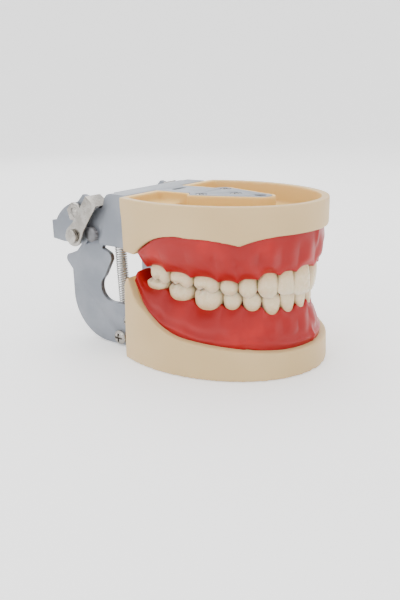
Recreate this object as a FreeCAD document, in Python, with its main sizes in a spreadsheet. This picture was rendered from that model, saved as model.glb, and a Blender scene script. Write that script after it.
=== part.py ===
"""Typodont: a 32-tooth practice model on a hinged steel articulator.

Frame: +Z up, the incisors face -Y, the patient's right side is -X.  The origin lies on the
underside of the lower base, on the mid-plane, where the base is widest.  Millimetres.
"""
import FreeCAD, Part
import math
import os
import Sketcher

V = FreeCAD.Vector
doc = FreeCAD.newDocument("Typodont")

# ---------------------------------------------------------------- driving dimensions
SIZES = {
    # jaw bases: half an oval, cut straight across at the back
    "base_half_width": 35.0, "base_front": 44.2, "base_rear": 22.6, "base_total": 61.7,
    "base_wall": 3.0, "cavity_depth": 8.0, "rear_corner": 3.0,
    "lower_cavity": 6.0, "lower_slab": 9.4, "upper_low": 41.6, "lower_rise": 32.4,
    "waist_height": 52.0, "side_taper": 0.8, "front_taper": 2.2, "foot_flare": 1.0,
    # lower edge of the upper base from the side: over the cheeks, frenum point, over the front
    "edge_rear": 14.6, "cheek_y": -10.3, "cheek_z": 50.4, "cheek_r": 28.0,
    "frenum_y": -26.8, "frenum_z": 48.2, "frenum_r": 46.0,
    "front_y": -38.0, "front_z": 51.4, "front_r": 30.0, "edge_front": 51.9,
    # upper edge of the lower base from the side: slope, climb and rounded rear crest
    "slope_y": -9.3, "slope_z": 13.4, "climb_y": 12.6, "climb_z": 26.0, "climb_r": 30.0,
    "crest_y": 16.2, "crest_z": 32.0, "crest_r": 9.0, "corner_z": 28.2,
    # steps in the upper tray, beside the neck of the plate
    "step_in": 9.0, "step_out": 17.0, "step_front": 9.5, "step_rear": 20.0, "step_drop": 3.5,
    # tooth arch: half-ellipse that the cheek sides of the upper teeth follow
    "arch_half_width": 28.3, "arch_front": 53.0, "arch_centre": 11.4, "overjet": 3.0,
    "occlusal_level": 29.6, "occlusal_gap": 0.3, "overbite": 2.3,
    "point_lap": 1.3, "upper_margin": 36.8, "lower_margin": 22.4,
    "margin_turn": -4.0, "margin_slope": 0.36,
    # gums and the ridges under them
    "ridge_inset": 2.6, "ridge_width": 5.6, "gum_width": 12.0, "gum_rear": 17.2,
    "gum_inset": 1.2, "palate_height": 44.5, "palate_skin": 2.0,
    "collar": 2.2, "ridge_clearance": 0.5, "ridge_rear": 15.0, "lower_ridge_trim": 0.6,
    "vault_low": 30.0, "vault_turn": 38.0, "vault_top_width": 9.0, "vault_top_length": 22.0,
    "vault_top_centre": 8.0, "gum_crest_front": 13.6, "gum_crest_y": 15.4, "gum_crest_z": 31.6,
    # tooth pegs and their screws
    "peg_r": 1.6, "peg_depth": 8.0, "tooth_screw_r": 0.8, "tooth_screw_bite": 4.0,
    "tooth_screw_head_r": 1.7, "tooth_screw_head": 1.3, "running": 0.05,
    # steel frames
    "plate": 1.5, "plate_half_width": 12.5, "plate_shoulder": 3.5, "plate_hole_y": -19.6,
    "plate_hole_r": 2.25, "plate_tip_r": 4.2, "neck_half_width": 8.0, "boss_margin": 1.4,
    "plate_gap": 0.15, "bridge_rear": 33.0, "rear_gap": 0.5,
    "flange_out": 25.4, "sheet": 2.0, "side_gap": 0.4,
    "flange_low": 41.4, "lug_rear": 64.0, "lug_low": 41.4, "lug_high": 48.9, "lug_reach": 6.4,
    # hinge
    "axle_y": 41.6, "axle_z": 45.4, "axle_r": 3.0, "axle_over": 1.6,
    # crescent arms
    "arm_low": 0.3, "arm_back": 56.5, "cutout_r": 5.7, "cutout_y": 35.2, "cutout_z": 23.4,
    "arm_top_r": 5.0, "knob_r": 2.2, "knob_y": 57.4, "knob_z": 32.9,
    "ear_height": 14.0, "ear_rear": 36.4,
    # fasteners of the articulator
    "plate_screw_x": 8.4, "plate_screw_y": 1.0, "tip_screw_y": -9.0,
    "low_screw_y": 31.6, "low_screw_z": 3.4, "high_screw_y": 26.2, "high_screw_z": 11.0,
    "screw_r": 1.5, "pan_head_r": 2.9, "pan_head": 1.7, "plate_screw_r": 1.3,
    "plate_screw_head_r": 2.3, "plate_screw_head": 0.9, "plate_screw_length": 4.4,
    "rod_r": 2.0, "rod_y": 49.1, "rod_z": 53.5, "nut_flats": 7.0, "nut_height": 1.9,
    # latch clips
    "latch_y": 49.1, "latch_z": 44.2, "latch_length": 17.9, "latch_width": 6.3,
    "latch_sheet": 1.0, "latch_stand": 2.2, "latch_lean": 35.9, "latch_tab": 8.4,
    "latch_end_r": 4.2, "latch_hole_r": 1.5, "latch_head_r": 2.8, "latch_head": 1.7,
    "latch_play": 0.1,
    # closing springs
    "spring_r": 2.5, "spring_wire": 0.6, "spring_x": 16.8, "pin_r": 1.0,
    "upper_pin_y": 35.2, "upper_pin_z": 43.4, "lower_pin_y": 33.6, "lower_pin_z": 9.0,
}

sheet = doc.addObject("Spreadsheet::Sheet", "Sizes")
for row, (alias, number) in enumerate(SIZES.items(), start=1):
    sheet.set("A%d" % row, alias)
    sheet.set("B%d" % row, str(number))
    sheet.setAlias("B%d" % row, alias)
doc.recompute()


class Dim:
    """A size that carries both its number and the spreadsheet expression that gives it."""

    def __init__(self, number, text=None):
        self.number = float(number)
        self.text = text if text is not None else repr(float(number))

    def _join(self, other, sign, number, swapped=False):
        other = other if isinstance(other, Dim) else Dim(other)
        first, second = (other, self) if swapped else (self, other)
        return Dim(number(first.number, second.number), "(%s %s %s)" % (first.text, sign, second.text))

    def __add__(self, other):
        return self._join(other, "+", lambda a, b: a + b)

    def __radd__(self, other):
        return self._join(other, "+", lambda a, b: a + b, swapped=True)

    def __sub__(self, other):
        return self._join(other, "-", lambda a, b: a - b)

    def __rsub__(self, other):
        return self._join(other, "-", lambda a, b: a - b, swapped=True)

    def __mul__(self, other):
        return self._join(other, "*", lambda a, b: a * b)

    def __rmul__(self, other):
        return self._join(other, "*", lambda a, b: a * b, swapped=True)

    def __truediv__(self, other):
        return self._join(other, "/", lambda a, b: a / b)

    def __neg__(self):
        return Dim(-self.number, "(-1 * %s)" % self.text)

    def __float__(self):
        return self.number


class Sheet:
    """The spreadsheet's cells as Dims: S.base_front and so on."""

    def __getattr__(self, alias):
        return Dim(sheet.get(alias), "Sizes." + alias)


S = Sheet()
nodes = []      # the finished sub-parts, in the order they are made


# ---------------------------------------------------------------- small helpers
def node(obj, label):
    """Name a finished sub-part; its label is its file's name."""
    obj.Label = label
    nodes.append(obj)
    return obj


def as_dim(size):
    return size if isinstance(size, Dim) else Dim(size)


def bind(obj, **sizes):
    """Bind an object's properties to the sheet."""
    for name, size in sizes.items():
        obj.setExpression(name, as_dim(size).text)
    return obj


def place(obj, x=0.0, y=0.0, z=0.0, axis=None, turn=0.0):
    """Place an object at sheet-driven coordinates, turned about an axis."""
    if axis is not None:
        obj.Placement = FreeCAD.Placement(V(0, 0, 0), FreeCAD.Rotation(axis, turn))
    for name, size in (("x", x), ("y", y), ("z", z)):
        obj.setExpression("Placement.Base." + name, as_dim(size).text)
    return obj


class Outline:
    """A closed sketch loop of lines and arcs whose every corner and radius is a sheet size."""

    def __init__(self, sketch, start):
        self.sketch = sketch
        self.start = self.here = (as_dim(start[0]), as_dim(start[1]))
        self.ids = []

    def _corner(self, index, point, u, v):
        """Hold one end of an edge at (u, v) from the sketch origin."""
        for kind, size in (("DistanceX", u), ("DistanceY", v)):
            number = self.sketch.addConstraint(
                Sketcher.Constraint(kind, -1, 1, index, point, size.number))
            self.sketch.setExpression("Constraints[%d]" % number, size.text)

    def _join(self, index, first):
        if self.ids:
            previous, last = self.ids[-1]
            self.sketch.addConstraint(
                Sketcher.Constraint("Coincident", previous, last, index, first))

    def line(self, u, v):
        u, v = as_dim(u), as_dim(v)
        a, b = self.here
        index = self.sketch.addGeometry(
            Part.LineSegment(V(a.number, b.number, 0), V(u.number, v.number, 0)), False)
        self._join(index, 1)
        if not self.ids:
            self._corner(index, 1, a, b)
        self.ids.append((index, 2))
        self._corner(index, 2, u, v)
        self.here = (u, v)
        return self

    def arc(self, u, v, radius, left=True):
        """An arc of up to half a turn; left=True curves round a centre on the left hand."""
        u, v, radius = as_dim(u), as_dim(v), as_dim(radius)
        a, b = self.here
        du, dv = u.number - a.number, v.number - b.number
        chord = math.hypot(du, dv)
        rise = math.sqrt(max(radius.number ** 2 - (chord / 2) ** 2, 0.0))
        side = 1 if left else -1
        cu = (a.number + u.number) / 2 - side * dv / chord * rise
        cv = (b.number + v.number) / 2 + side * du / chord * rise
        begin = math.atan2(b.number - cv, a.number - cu)
        end = math.atan2(v.number - cv, u.number - cu)
        if not left:
            begin, end = end, begin
        circle = Part.Circle(V(cu, cv, 0), V(0, 0, 1), radius.number)
        index = self.sketch.addGeometry(Part.ArcOfCircle(circle, begin, end), False)
        first, last = (1, 2) if left else (2, 1)
        self._join(index, first)
        if not self.ids:
            self._corner(index, first, a, b)
        self.ids.append((index, last))
        self._corner(index, last, u, v)
        number = self.sketch.addConstraint(Sketcher.Constraint("Radius", index, radius.number))
        self.sketch.setExpression("Constraints[%d]" % number, radius.text)
        self.here = (u, v)
        return self

    def close(self):
        """A last straight edge back to the start."""
        a, b = self.here
        u, v = self.start
        index = self.sketch.addGeometry(
            Part.LineSegment(V(a.number, b.number, 0), V(u.number, v.number, 0)), False)
        self._join(index, 1)
        self.sketch.addConstraint(
            Sketcher.Constraint("Coincident", index, 2, self.ids[0][0], self._first_end()))
        return self.sketch

    def _first_end(self):
        """The end of the first edge that lies at the outline's start."""
        first = self.ids[0]
        return 1 if first[1] == 2 else 2


def ring(sketch, u, v, radius):
    """A full circle in a sketch, bound to the sheet."""
    u, v, radius = as_dim(u), as_dim(v), as_dim(radius)
    index = sketch.addGeometry(
        Part.Circle(V(u.number, v.number, 0), V(0, 0, 1), radius.number), False)
    for kind, size in (("DistanceX", u), ("DistanceY", v)):
        number = sketch.addConstraint(Sketcher.Constraint(kind, -1, 1, index, 3, size.number))
        sketch.setExpression("Constraints[%d]" % number, size.text)
    number = sketch.addConstraint(Sketcher.Constraint("Radius", index, radius.number))
    sketch.setExpression("Constraints[%d]" % number, radius.text)
    return sketch


def new_body(name):
    return doc.addObject("PartDesign::Body", name)


def body_sketch(body, name, plane, offset=0.0):
    """A sketch on one of the body's own origin planes, moved along the plane's normal."""
    sketch = body.newObject("Sketcher::SketchObject", name)
    origin = [feature for feature in body.Origin.OriginFeatures if feature.Role == plane][0]
    sketch.AttachmentSupport = [(origin, "")]
    sketch.MapMode = "FlatFace"
    sketch.setExpression("AttachmentOffset.Base.z", as_dim(offset).text)
    return sketch


def pad(body, sketch, length, both_ways=False, down=False):
    feature = body.newObject("PartDesign::Pad", sketch.Name + "Pad")
    feature.Profile = sketch
    bind(feature, Length=length)
    feature.Midplane = both_ways
    feature.Reversed = down
    sketch.Visibility = False
    return feature


def pocket(body, sketch, length, both_ways=False, down=False):
    feature = body.newObject("PartDesign::Pocket", sketch.Name + "Pocket")
    feature.Profile = sketch
    bind(feature, Length=length)
    feature.Midplane = both_ways
    feature.Reversed = down
    sketch.Visibility = False
    return feature


def turned(name, steps):
    """A turned piece: steps are (radius, height) corners of half its section, bottom to top."""
    body = new_body(name)
    sketch = body_sketch(body, name + "Section", "XZ_Plane")
    outline = Outline(sketch, (0.0, steps[0][1]))
    for radius, height in steps:
        outline.line(radius, height)
    outline.line(0.0, steps[-1][1])
    outline.close()
    feature = body.newObject("PartDesign::Revolution", name + "Turn")
    feature.Profile = sketch
    feature.ReferenceAxis = (sketch, ["V_Axis"])
    feature.Angle = 360.0
    return body


def copies(label, template, places):
    """One node of several like solids: the template's shape at each placement."""
    doc.recompute()
    shapes = []
    for placement in places:
        shape = template.Shape.copy()
        shape.Placement = placement.multiply(shape.Placement)
        shapes.append(shape)
    feature = doc.addObject("Part::Feature", label)
    feature.Shape = Part.makeCompound(shapes)
    return node(feature, label)


def mirrored(label, source):
    """The left-hand twin of a right-hand piece, reflected in the mid-plane."""
    twin = doc.addObject("Part::Mirroring", label)
    twin.Source = source
    twin.Normal = V(1, 0, 0)
    return node(twin, label)


def oval(name, half_width, length, centre, height):
    """An ellipse whose long axis runs front to back, centred on the mid-plane."""
    ellipse = doc.addObject("Part::Ellipse", name)
    bind(ellipse, MajorRadius=length, MinorRadius=half_width)
    return place(ellipse, 0.0, centre, height, V(0, 0, 1), 90)


def loft(name, sections):
    solid = doc.addObject("Part::Loft", name)
    solid.Sections = sections
    solid.Solid = True
    solid.Ruled = True
    return solid


def oval_column(name, half_width, length, centre, low, high):
    """An upright oval prism between two heights."""
    return loft(name, [oval(name + "Low", half_width, length, centre, low),
                       oval(name + "High", half_width, length, centre, high)])


def block(name, low, high):
    """A box between two corners."""
    box = doc.addObject("Part::Box", name)
    sizes = [as_dim(high[i]) - as_dim(low[i]) for i in range(3)]
    bind(box, Length=sizes[0], Width=sizes[1], Height=sizes[2])
    return place(box, *low)


def rod(name, radius, length, x=0.0, y=0.0, z=0.0, axis=None, turn=0.0):
    cylinder = doc.addObject("Part::Cylinder", name)
    bind(cylinder, Radius=radius, Height=length)
    return place(cylinder, x, y, z, axis, turn)


def cut(name, base, tool):
    result = doc.addObject("Part::Cut", name)
    result.Base, result.Tool = base, tool
    return result


def fuse(name, *shapes):
    result = doc.addObject("Part::MultiFuse", name)
    result.Shapes = list(shapes)
    return result


def common(name, *shapes):
    result = doc.addObject("Part::MultiCommon", name)
    result.Shapes = list(shapes)
    return result


def plane_sketch(name, plane, offset=0.0):
    """A free-standing sketch: u, v are X, Y on the floor plane, or Y, Z on the side plane."""
    sketch = doc.addObject("Sketcher::SketchObject", name)
    if plane == "side":
        sketch.Placement = FreeCAD.Placement(V(0, 0, 0), FreeCAD.Rotation(V(1, 1, 1), 120))
        sketch.setExpression("Placement.Base.x", as_dim(offset).text)
    else:
        sketch.setExpression("Placement.Base.z", as_dim(offset).text)
    return sketch


def prism(name, sketch, length, both_ways=False):
    solid = doc.addObject("Part::Extrusion", name)
    solid.Base = sketch
    solid.DirMode = "Normal"
    bind(solid, LengthFwd=length)
    solid.Solid = True
    solid.Symmetric = both_ways
    return solid


def frozen(name, shape):
    """A helper solid made straight from geometry."""
    feature = doc.addObject("Part::Feature", name)
    feature.Shape = shape
    return feature


# ---------------------------------------------------------------- shared levels
OPEN = 200.0                                   # longer than the model, for cuts that run right out
side_reach = S.base_half_width * 2 + 20
cavity_floor = S.base_total - S.cavity_depth
frame_low = S.base_total - S.plate             # underside of the upper plate
flange_in = S.flange_out - S.sheet
arm_out = flange_in - S.side_gap
arm_in = arm_out - S.sheet


# ---------------------------------------------------------------- teeth: sizes and places
# Crown sizes in mm, mid-line outwards: (name, width along the arch, depth across it, shape)
UPPER = [("central_incisor", 8.5, 6.6, "blade"), ("lateral_incisor", 6.6, 5.8, "blade"),
         ("canine", 7.6, 7.6, "point"), ("first_premolar", 7.1, 8.8, "table"),
         ("second_premolar", 6.9, 8.8, "table"), ("first_molar", 10.4, 10.8, "table"),
         ("second_molar", 9.8, 10.6, "table"), ("third_molar", 8.8, 10.0, "table")]
LOWER = [("central_incisor", 5.3, 5.6, "blade"), ("lateral_incisor", 5.9, 5.8, "blade"),
         ("canine", 6.9, 7.0, "point"), ("first_premolar", 7.1, 7.4, "table"),
         ("second_premolar", 7.2, 7.8, "table"), ("first_molar", 11.3, 9.8, "table"),
         ("second_molar", 10.7, 9.6, "table"), ("third_molar", 10.2, 9.2, "table")]
SPACING = 0.12                                  # gap between neighbouring crowns
NECK = 0.80                                     # neck width over crown width
NECK_DEPTH = 0.86                               # neck depth over crown depth
NECK_INSET = 0.25                               # how far the neck stands in from the cheek side
COLLAR = float(S.collar)                        # how far a crown reaches under the gum


def arch_places(teeth, half_width, front, centre):
    """Where each tooth's cheek side sits: (x, y, direction along the arch) from the mid-line."""
    steps = 4000
    widths = [tooth[1] for tooth in teeth]
    goals = [sum(widths[:i]) + widths[i] / 2 for i in range(len(widths))]
    found, run, last = [], 0.0, (0.0, centre - front)
    for step in range(1, steps + 1):
        t = step / steps * 0.9 * math.pi
        if t <= math.pi / 2:
            here = (half_width * math.sin(t), centre - front * math.cos(t))
        else:
            here = (half_width, centre + front * (t - math.pi / 2))
        span = math.hypot(here[0] - last[0], here[1] - last[1])
        while len(found) < len(goals) and run + span >= goals[len(found)]:
            along = math.atan2(here[1] - last[1], here[0] - last[0])
            found.append((here[0], here[1], along))
        run, last = run + span, here
    return found


def side_places(teeth, half_width, front, centre):
    """Right-hand (x < 0) then left-hand places, with each tooth's inward direction and pinch.

    The pinch is how much narrower a tooth gets, for each mm inwards, because the arch turns.
    """
    found = arch_places(teeth, half_width, front, centre)
    bearings = [-found[0][2]] + [along for x, y, along in found] + [found[-1][2]]
    places = []
    for i, ((name, width, depth, kind), (x, y, along)) in enumerate(zip(teeth, found)):
        inward = along + math.pi / 2
        pinch = math.tan(max(along - bearings[i], bearings[i + 2] - along) / 2)
        places.append(("right_" + name, width, depth, kind, -x, y, math.pi - inward, pinch))
        places.append(("left_" + name, width, depth, kind, x, y, inward, pinch))
    return places


def oval_wire(x, y, z, half_along, half_across, inward):
    """An oval section, its cheek side at (x, y), reaching twice half_across inwards."""
    across = V(math.cos(inward), math.sin(inward), 0)
    along = V(-math.sin(inward), math.cos(inward), 0)
    centre = V(x, y, z) + across * half_across
    stretch = FreeCAD.Matrix(along.x * half_along, across.x * half_across, 0, centre.x,
                             along.y * half_along, across.y * half_across, 0, centre.y,
                             0, 0, 1, centre.z, 0, 0, 0, 1)
    circle = Part.Wire([Part.Circle(V(0, 0, 0), V(0, 0, 1), 1.0).toShape()])
    return circle.transformGeometry(stretch)


def crown_sections(kind, width, depth, margin, tip, up):
    """(height, along, across, offset inwards) of a crown's sections, from under the gum to tip."""
    height = abs(tip - margin)
    neck = (NECK * width, NECK_DEPTH * depth, NECK_INSET)
    levels = [(-COLLAR, *neck), (0.35, *neck)]
    if kind == "blade":
        levels += [(0.45 * height, 0.97 * width, 0.66 * depth, 0.0),
                   (height - 2.6, width, 0.40 * depth, 0.0),
                   (height, 0.92 * width, 0.24 * depth, 0.0)]
    elif kind == "point":
        levels += [(0.45 * height, 0.98 * width, 0.80 * depth, 0.0),
                   (height - 3.0, width, 0.42 * depth, 0.0),
                   (height, 0.40 * width, 0.26 * depth, 0.1)]
    else:
        levels += [(0.50 * height, width, depth, 0.0),
                   (0.80 * height, 0.97 * width, 0.96 * depth, 0.2),
                   (height, 0.80 * width, 0.72 * depth, 0.8)]
    return [(margin + up * level, along / 2 - SPACING / 2, across / 2, inset)
            for level, along, across, inset in levels]


def tooth(label, spec, margin, tip, up):
    """One artificial tooth: crown, collar under the gum and round peg with its pilot hole."""
    name, width, depth, kind, x, y, inward, pinch = spec
    sections = crown_sections(kind, width, depth, margin, tip, up)
    wires = [oval_wire(x + inset * math.cos(inward), y + inset * math.sin(inward), z,
                       half_along - pinch * half_across, half_across, inward)
             for z, half_along, half_across, inset in sections]
    crown = Part.makeLoft(wires, True, True)
    px, py = peg_centre(spec)
    root = margin - up * COLLAR
    peg = Part.makeCylinder(float(S.peg_r), float(S.peg_depth), V(px, py, root), V(0, 0, -up))
    hole_depth = float(S.tooth_screw_bite)
    end = root - up * float(S.peg_depth)
    hole = Part.makeCylinder(float(S.tooth_screw_r), hole_depth, V(px, py, end), V(0, 0, up))
    feature = doc.addObject("Part::Feature", label)
    feature.Shape = crown.fuse(peg).cut(hole).removeSplitter()
    return node(feature, label)


def peg_centre(spec):
    """The peg stands under the middle of the neck."""
    name, width, depth, kind, x, y, inward, pinch = spec
    across = NECK_DEPTH * depth / 2 + NECK_INSET
    return x + across * math.cos(inward), y + across * math.sin(inward)


def crown_pocket(spec, margin, up):
    """The room that a tooth takes: its collar under the margin, and the full crown above it."""
    name, width, depth, kind, x, y, inward, pinch = spec
    half_across = NECK_DEPTH * depth / 2
    half_along = NECK * width / 2 - SPACING / 2 - pinch * half_across
    collar = oval_wire(x + NECK_INSET * math.cos(inward), y + NECK_INSET * math.sin(inward),
                       margin - up * COLLAR, half_along, half_across, inward)
    crown = oval_wire(x, y, margin, width / 2, depth / 2, inward)
    return [Part.Face(collar).extrude(V(0, 0, up * COLLAR)),
            Part.Face(crown).extrude(V(0, 0, up * OPEN))]


def pockets(name, specs, jaw, up):
    """The room that all the teeth of one jaw take, as one tool."""
    tools = [tool for spec in specs for tool in crown_pocket(spec, margin_at(jaw, spec[5]), up)]
    return frozen(name, tools[0].multiFuse(tools[1:]))


arch = (float(S.arch_half_width), float(S.arch_front), float(S.arch_centre))
overjet = float(S.overjet)
upper_specs = side_places(UPPER, *arch)
lower_specs = side_places(LOWER, arch[0] - overjet, arch[1] - overjet, arch[2])


def margin_at(jaw, y):
    """Height of the gum margin beside a tooth; the lower one climbs towards the last molar."""
    if jaw == "upper":
        return float(S.upper_margin)
    return float(S.lower_margin) + max(0.0, y - float(S.margin_turn)) * float(S.margin_slope)


def tip_at(jaw, spec):
    """Height of the biting edge."""
    level, kind = float(S.occlusal_level), spec[3]
    if kind == "table":
        return level + (float(S.occlusal_gap) if jaw == "upper" else 0.0)
    lapped = level - float(S.point_lap)
    return lapped if jaw == "upper" else lapped + float(S.overbite)


# ---------------------------------------------------------------- jaw bases: shared pieces
def rear_trim(name, plane_y):
    """Everything behind a straight plane, to be cut away."""
    return block(name, (-side_reach, plane_y, -20.0), (side_reach, plane_y + OPEN, OPEN))


def d_column(name, inset, low, high):
    """The base's own D outline, drawn in by an inset."""
    column = oval_column(name + "Oval", S.base_half_width - inset, S.base_front - inset, 0.0, low, high)
    return cut(name, column, rear_trim(name + "Rear", S.base_rear - inset))


def horseshoe(name, outside, width, low, high, rear):
    """A band that follows the tooth arch: `outside` is its distance in from the cheek line."""
    outer = oval_column(name + "Outer", S.arch_half_width - outside, S.arch_front - outside,
                        S.arch_centre, low, high)
    inner = oval_column(name + "Inner", S.arch_half_width - outside - width,
                        S.arch_front - outside - width, S.arch_centre, low - 1, high + 1)
    return cut(name, cut(name + "Band", outer, inner), rear_trim(name + "Rear", rear))


def kite(sketch, margin, rear):
    """The frame plate's outline: round tip, two slanting sides, shoulders and a straight neck."""
    tip_r = S.plate_tip_r + margin
    wide, neck = S.plate_half_width + margin, S.neck_half_width + margin
    tip = S.plate_hole_y
    outline = Outline(sketch, (-wide, S.plate_shoulder))
    outline.line(-tip_r, tip)
    outline.arc(0.0, tip - tip_r, tip_r)
    outline.arc(tip_r, tip, tip_r)
    outline.line(wide, S.plate_shoulder)
    outline.line(neck, S.plate_shoulder + 3.0)
    outline.line(neck, rear)
    outline.line(-neck, rear)
    outline.line(-neck, S.plate_shoulder + 3.0)
    return outline.close()


def kite_prism(name, margin, rear, low, length):
    return prism(name, kite(plane_sketch(name + "Sketch", "floor", low), margin, rear), length)


# places that the plates' screws and holes share with the bases
PLATE_SCREWS = [(-S.plate_screw_x, S.plate_screw_y), (S.plate_screw_x, S.plate_screw_y),
                (Dim(0.0), S.tip_screw_y)]


def plate_screw_holes(name, radius, low, length):
    return fuse(name, *[rod("%s%d" % (name, i), radius, length, x, y, low)
                        for i, (x, y) in enumerate(PLATE_SCREWS)])


def peg_holes(name, specs, jaw, up, floor):
    """Sockets for the pegs and the screw holes above them, as one tool."""
    tools = []
    gap, lap = float(S.running), 1.0               # the socket starts inside the collar's own room
    for spec in specs:
        x, y = peg_centre(spec)
        root = margin_at(jaw, spec[5]) - up * (COLLAR - lap)
        deep = float(S.peg_depth) + lap
        tools.append(Part.makeCylinder(float(S.peg_r) + gap, deep, V(x, y, root), V(0, 0, -up)))
        end = root - up * deep
        reach = abs(float(floor) - end) + lap
        tools.append(Part.makeCylinder(float(S.tooth_screw_r) + gap, reach, V(x, y, end), V(0, 0, -up)))
    return frozen(name, tools[0].multiFuse(tools[1:]))


def rounded_corners(name, solid, heights):
    """Round the two upright edges where the curved wall meets the straight back."""
    doc.recompute()
    edges = []
    for number, edge in enumerate(solid.Shape.Edges, start=1):
        box = edge.BoundBox
        upright = box.ZLength > 0.5 * heights and box.YLength < 0.2 and box.XLength < 2.5
        if upright and abs(box.YMax - float(S.base_rear)) < 0.2:
            edges.append((number, float(S.rear_corner), float(S.rear_corner)))
    fillet = doc.addObject("Part::Fillet", name)
    fillet.Base = solid
    fillet.Edges = edges
    return fillet


# ---------------------------------------------------------------- upper base
PAST = 6.0                                     # how far a cutting outline runs past the base
outer = loft("UpperOuter", [
    oval("UpperOvalLow", S.base_half_width - S.side_taper, S.base_front - S.front_taper, S.front_taper,
         S.upper_low),
    oval("UpperOvalMid", S.base_half_width, S.base_front, 0.0, S.waist_height),
    oval("UpperOvalTop", S.base_half_width, S.base_front, 0.0, S.base_total)])
shell = rounded_corners("UpperCorners", cut("UpperD", outer, rear_trim("UpperRear", S.base_rear)), 20.0)

# lower edge: low behind the molars, arched over the cheeks, with a point at each side frenum
edge_cut = plane_sketch("UpperEdge", "side", -side_reach / 2)
upper_edge = Outline(edge_cut, (S.edge_rear, S.vault_low))
upper_edge.line(S.edge_rear, S.upper_low)
upper_edge.arc(S.cheek_y, S.cheek_z, S.cheek_r)
upper_edge.arc(S.frenum_y, S.frenum_z, S.frenum_r)
upper_edge.arc(S.front_y, S.front_z, S.front_r)
upper_edge.line(-(S.base_front + PAST), S.edge_front)
upper_edge.line(-(S.base_front + PAST), S.vault_low)
upper_edge.close()
edge_tool = prism("UpperEdgeTool", edge_cut, side_reach)

cavity = d_column("UpperCavity", S.base_wall, cavity_floor, S.base_total + 1)
boss = common("UpperBoss",
              kite_prism("UpperBossKite", S.boss_margin, S.base_rear + 4, cavity_floor - 1,
                         S.cavity_depth + 1),
              d_column("UpperBossLimit", 0.2, cavity_floor - 1, S.base_total + 1))
step_low, step_top = cavity_floor - 1, S.base_total - S.step_drop
steps = fuse("UpperSteps",
             block("UpperStepRight", (-S.step_out, S.step_front, step_low),
                   (-S.step_in, S.step_rear, step_top)),
             block("UpperStepLeft", (S.step_in, S.step_front, step_low),
                   (S.step_out, S.step_rear, step_top)))
recess = kite_prism("UpperRecess", S.plate_gap, S.base_rear + 5, frame_low, S.plate + 2)
ridge = horseshoe("UpperRidge", S.ridge_inset, S.ridge_width,
                  S.upper_margin + S.collar + S.ridge_clearance, cavity_floor, S.ridge_rear)
vault_half = S.arch_half_width - S.gum_width         # the palate vault's half width and length
vault_length = S.arch_front - S.gum_width - 2
skin = S.palate_skin
vault = loft("UpperVault", [
    oval("VaultLow", vault_half + skin, vault_length + skin, S.arch_centre, S.vault_low),
    oval("VaultMid", vault_half + skin, vault_length + skin, S.arch_centre, S.vault_turn),
    oval("VaultTop", S.vault_top_width, S.vault_top_length, S.vault_top_centre, S.palate_height + skin)])
upper_solid = fuse("UpperSolid", cut("UpperHollow", cut("UpperScalloped", shell, edge_tool), cavity),
                   boss, steps, ridge)
upper_pegs = peg_holes("UpperPegHoles", upper_specs, "upper", -1, cavity_floor)
upper_pockets = pockets("UpperPockets", upper_specs, "upper", -1)
upper_holes = fuse("UpperHoles", recess, vault, upper_pockets, upper_pegs,
                   rod("UpperStudHole", S.plate_hole_r, S.cavity_depth, 0.0, S.plate_hole_y, cavity_floor),
                   plate_screw_holes("UpperPilot", S.plate_screw_r, cavity_floor, S.cavity_depth))
upper_base = node(cut("UpperBase", upper_solid, upper_holes), "upper_base")

# ---------------------------------------------------------------- lower base
outer = loft("LowerOuter", [
    oval("LowerOvalLow", S.base_half_width + S.foot_flare, S.base_front + S.foot_flare, 0.0, 0.0),
    oval("LowerOvalTop", S.base_half_width, S.base_front, 0.0, S.lower_rise)])
shell = rounded_corners("LowerCorners", cut("LowerD", outer, rear_trim("LowerRear", S.base_rear)), 20.0)
edge_cut = plane_sketch("LowerEdge", "side", -side_reach / 2)
lower_edge = Outline(edge_cut, (S.base_rear + PAST, S.corner_z))
lower_edge.line(S.base_rear + PAST, S.lower_rise + PAST)
lower_edge.line(-(S.base_front + PAST), S.lower_rise + PAST)
lower_edge.line(-(S.base_front + PAST), S.lower_slab)
lower_edge.line(S.front_y, S.lower_slab + S.lower_ridge_trim)
lower_edge.line(S.slope_y, S.slope_z)
lower_edge.arc(S.climb_y, S.climb_z, S.climb_r)
lower_edge.line(S.crest_y, S.crest_z)
lower_edge.arc(S.base_rear, S.corner_z, S.crest_r, left=False)
lower_edge.close()
edge_tool = prism("LowerEdgeTool", edge_cut, side_reach)
tongue = loft("TongueSpace", [
    oval("TongueLow", vault_half - 2, vault_length - 2, S.arch_centre, S.lower_slab),
    oval("TongueHigh", vault_half - 0.5, vault_length - 0.5, S.arch_centre, S.upper_low)])
cavity = d_column("LowerCavity", S.base_wall, -1.0, S.lower_cavity)
boss = common("LowerBoss",
              kite_prism("LowerBossKite", S.boss_margin, S.base_rear + 4, 0.0, S.lower_cavity + 1),
              d_column("LowerBossLimit", 0.2, -1.0, S.lower_cavity + 1))
recess = kite_prism("LowerRecess", S.plate_gap, S.base_rear + 5, -1.0, S.plate + 1)
ridge = horseshoe("LowerRidge", S.ridge_inset + S.overjet - S.lower_ridge_trim,
                  S.ridge_width - S.lower_ridge_trim, S.lower_cavity,
                  S.lower_margin - S.collar - S.ridge_clearance, S.ridge_rear)
sloped = cut("LowerTongue", cut("LowerSloped", shell, edge_tool), tongue)
lower_solid = fuse("LowerSolid", cut("LowerHollow", sloped, cavity), boss, ridge)
lower_pegs = peg_holes("LowerPegHoles", lower_specs, "lower", 1, S.lower_cavity)
lower_pockets = pockets("LowerPockets", lower_specs, "lower", 1)
lower_holes = fuse("LowerHoles", recess, lower_pockets, lower_pegs,
                   rod("LowerStudHole", S.plate_hole_r, S.lower_cavity, 0.0, S.plate_hole_y, 0.0),
                   plate_screw_holes("LowerPilot", S.plate_screw_r, 0.0, S.lower_cavity))
lower_base = node(cut("LowerBase", lower_solid, lower_holes), "lower_base")


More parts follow.
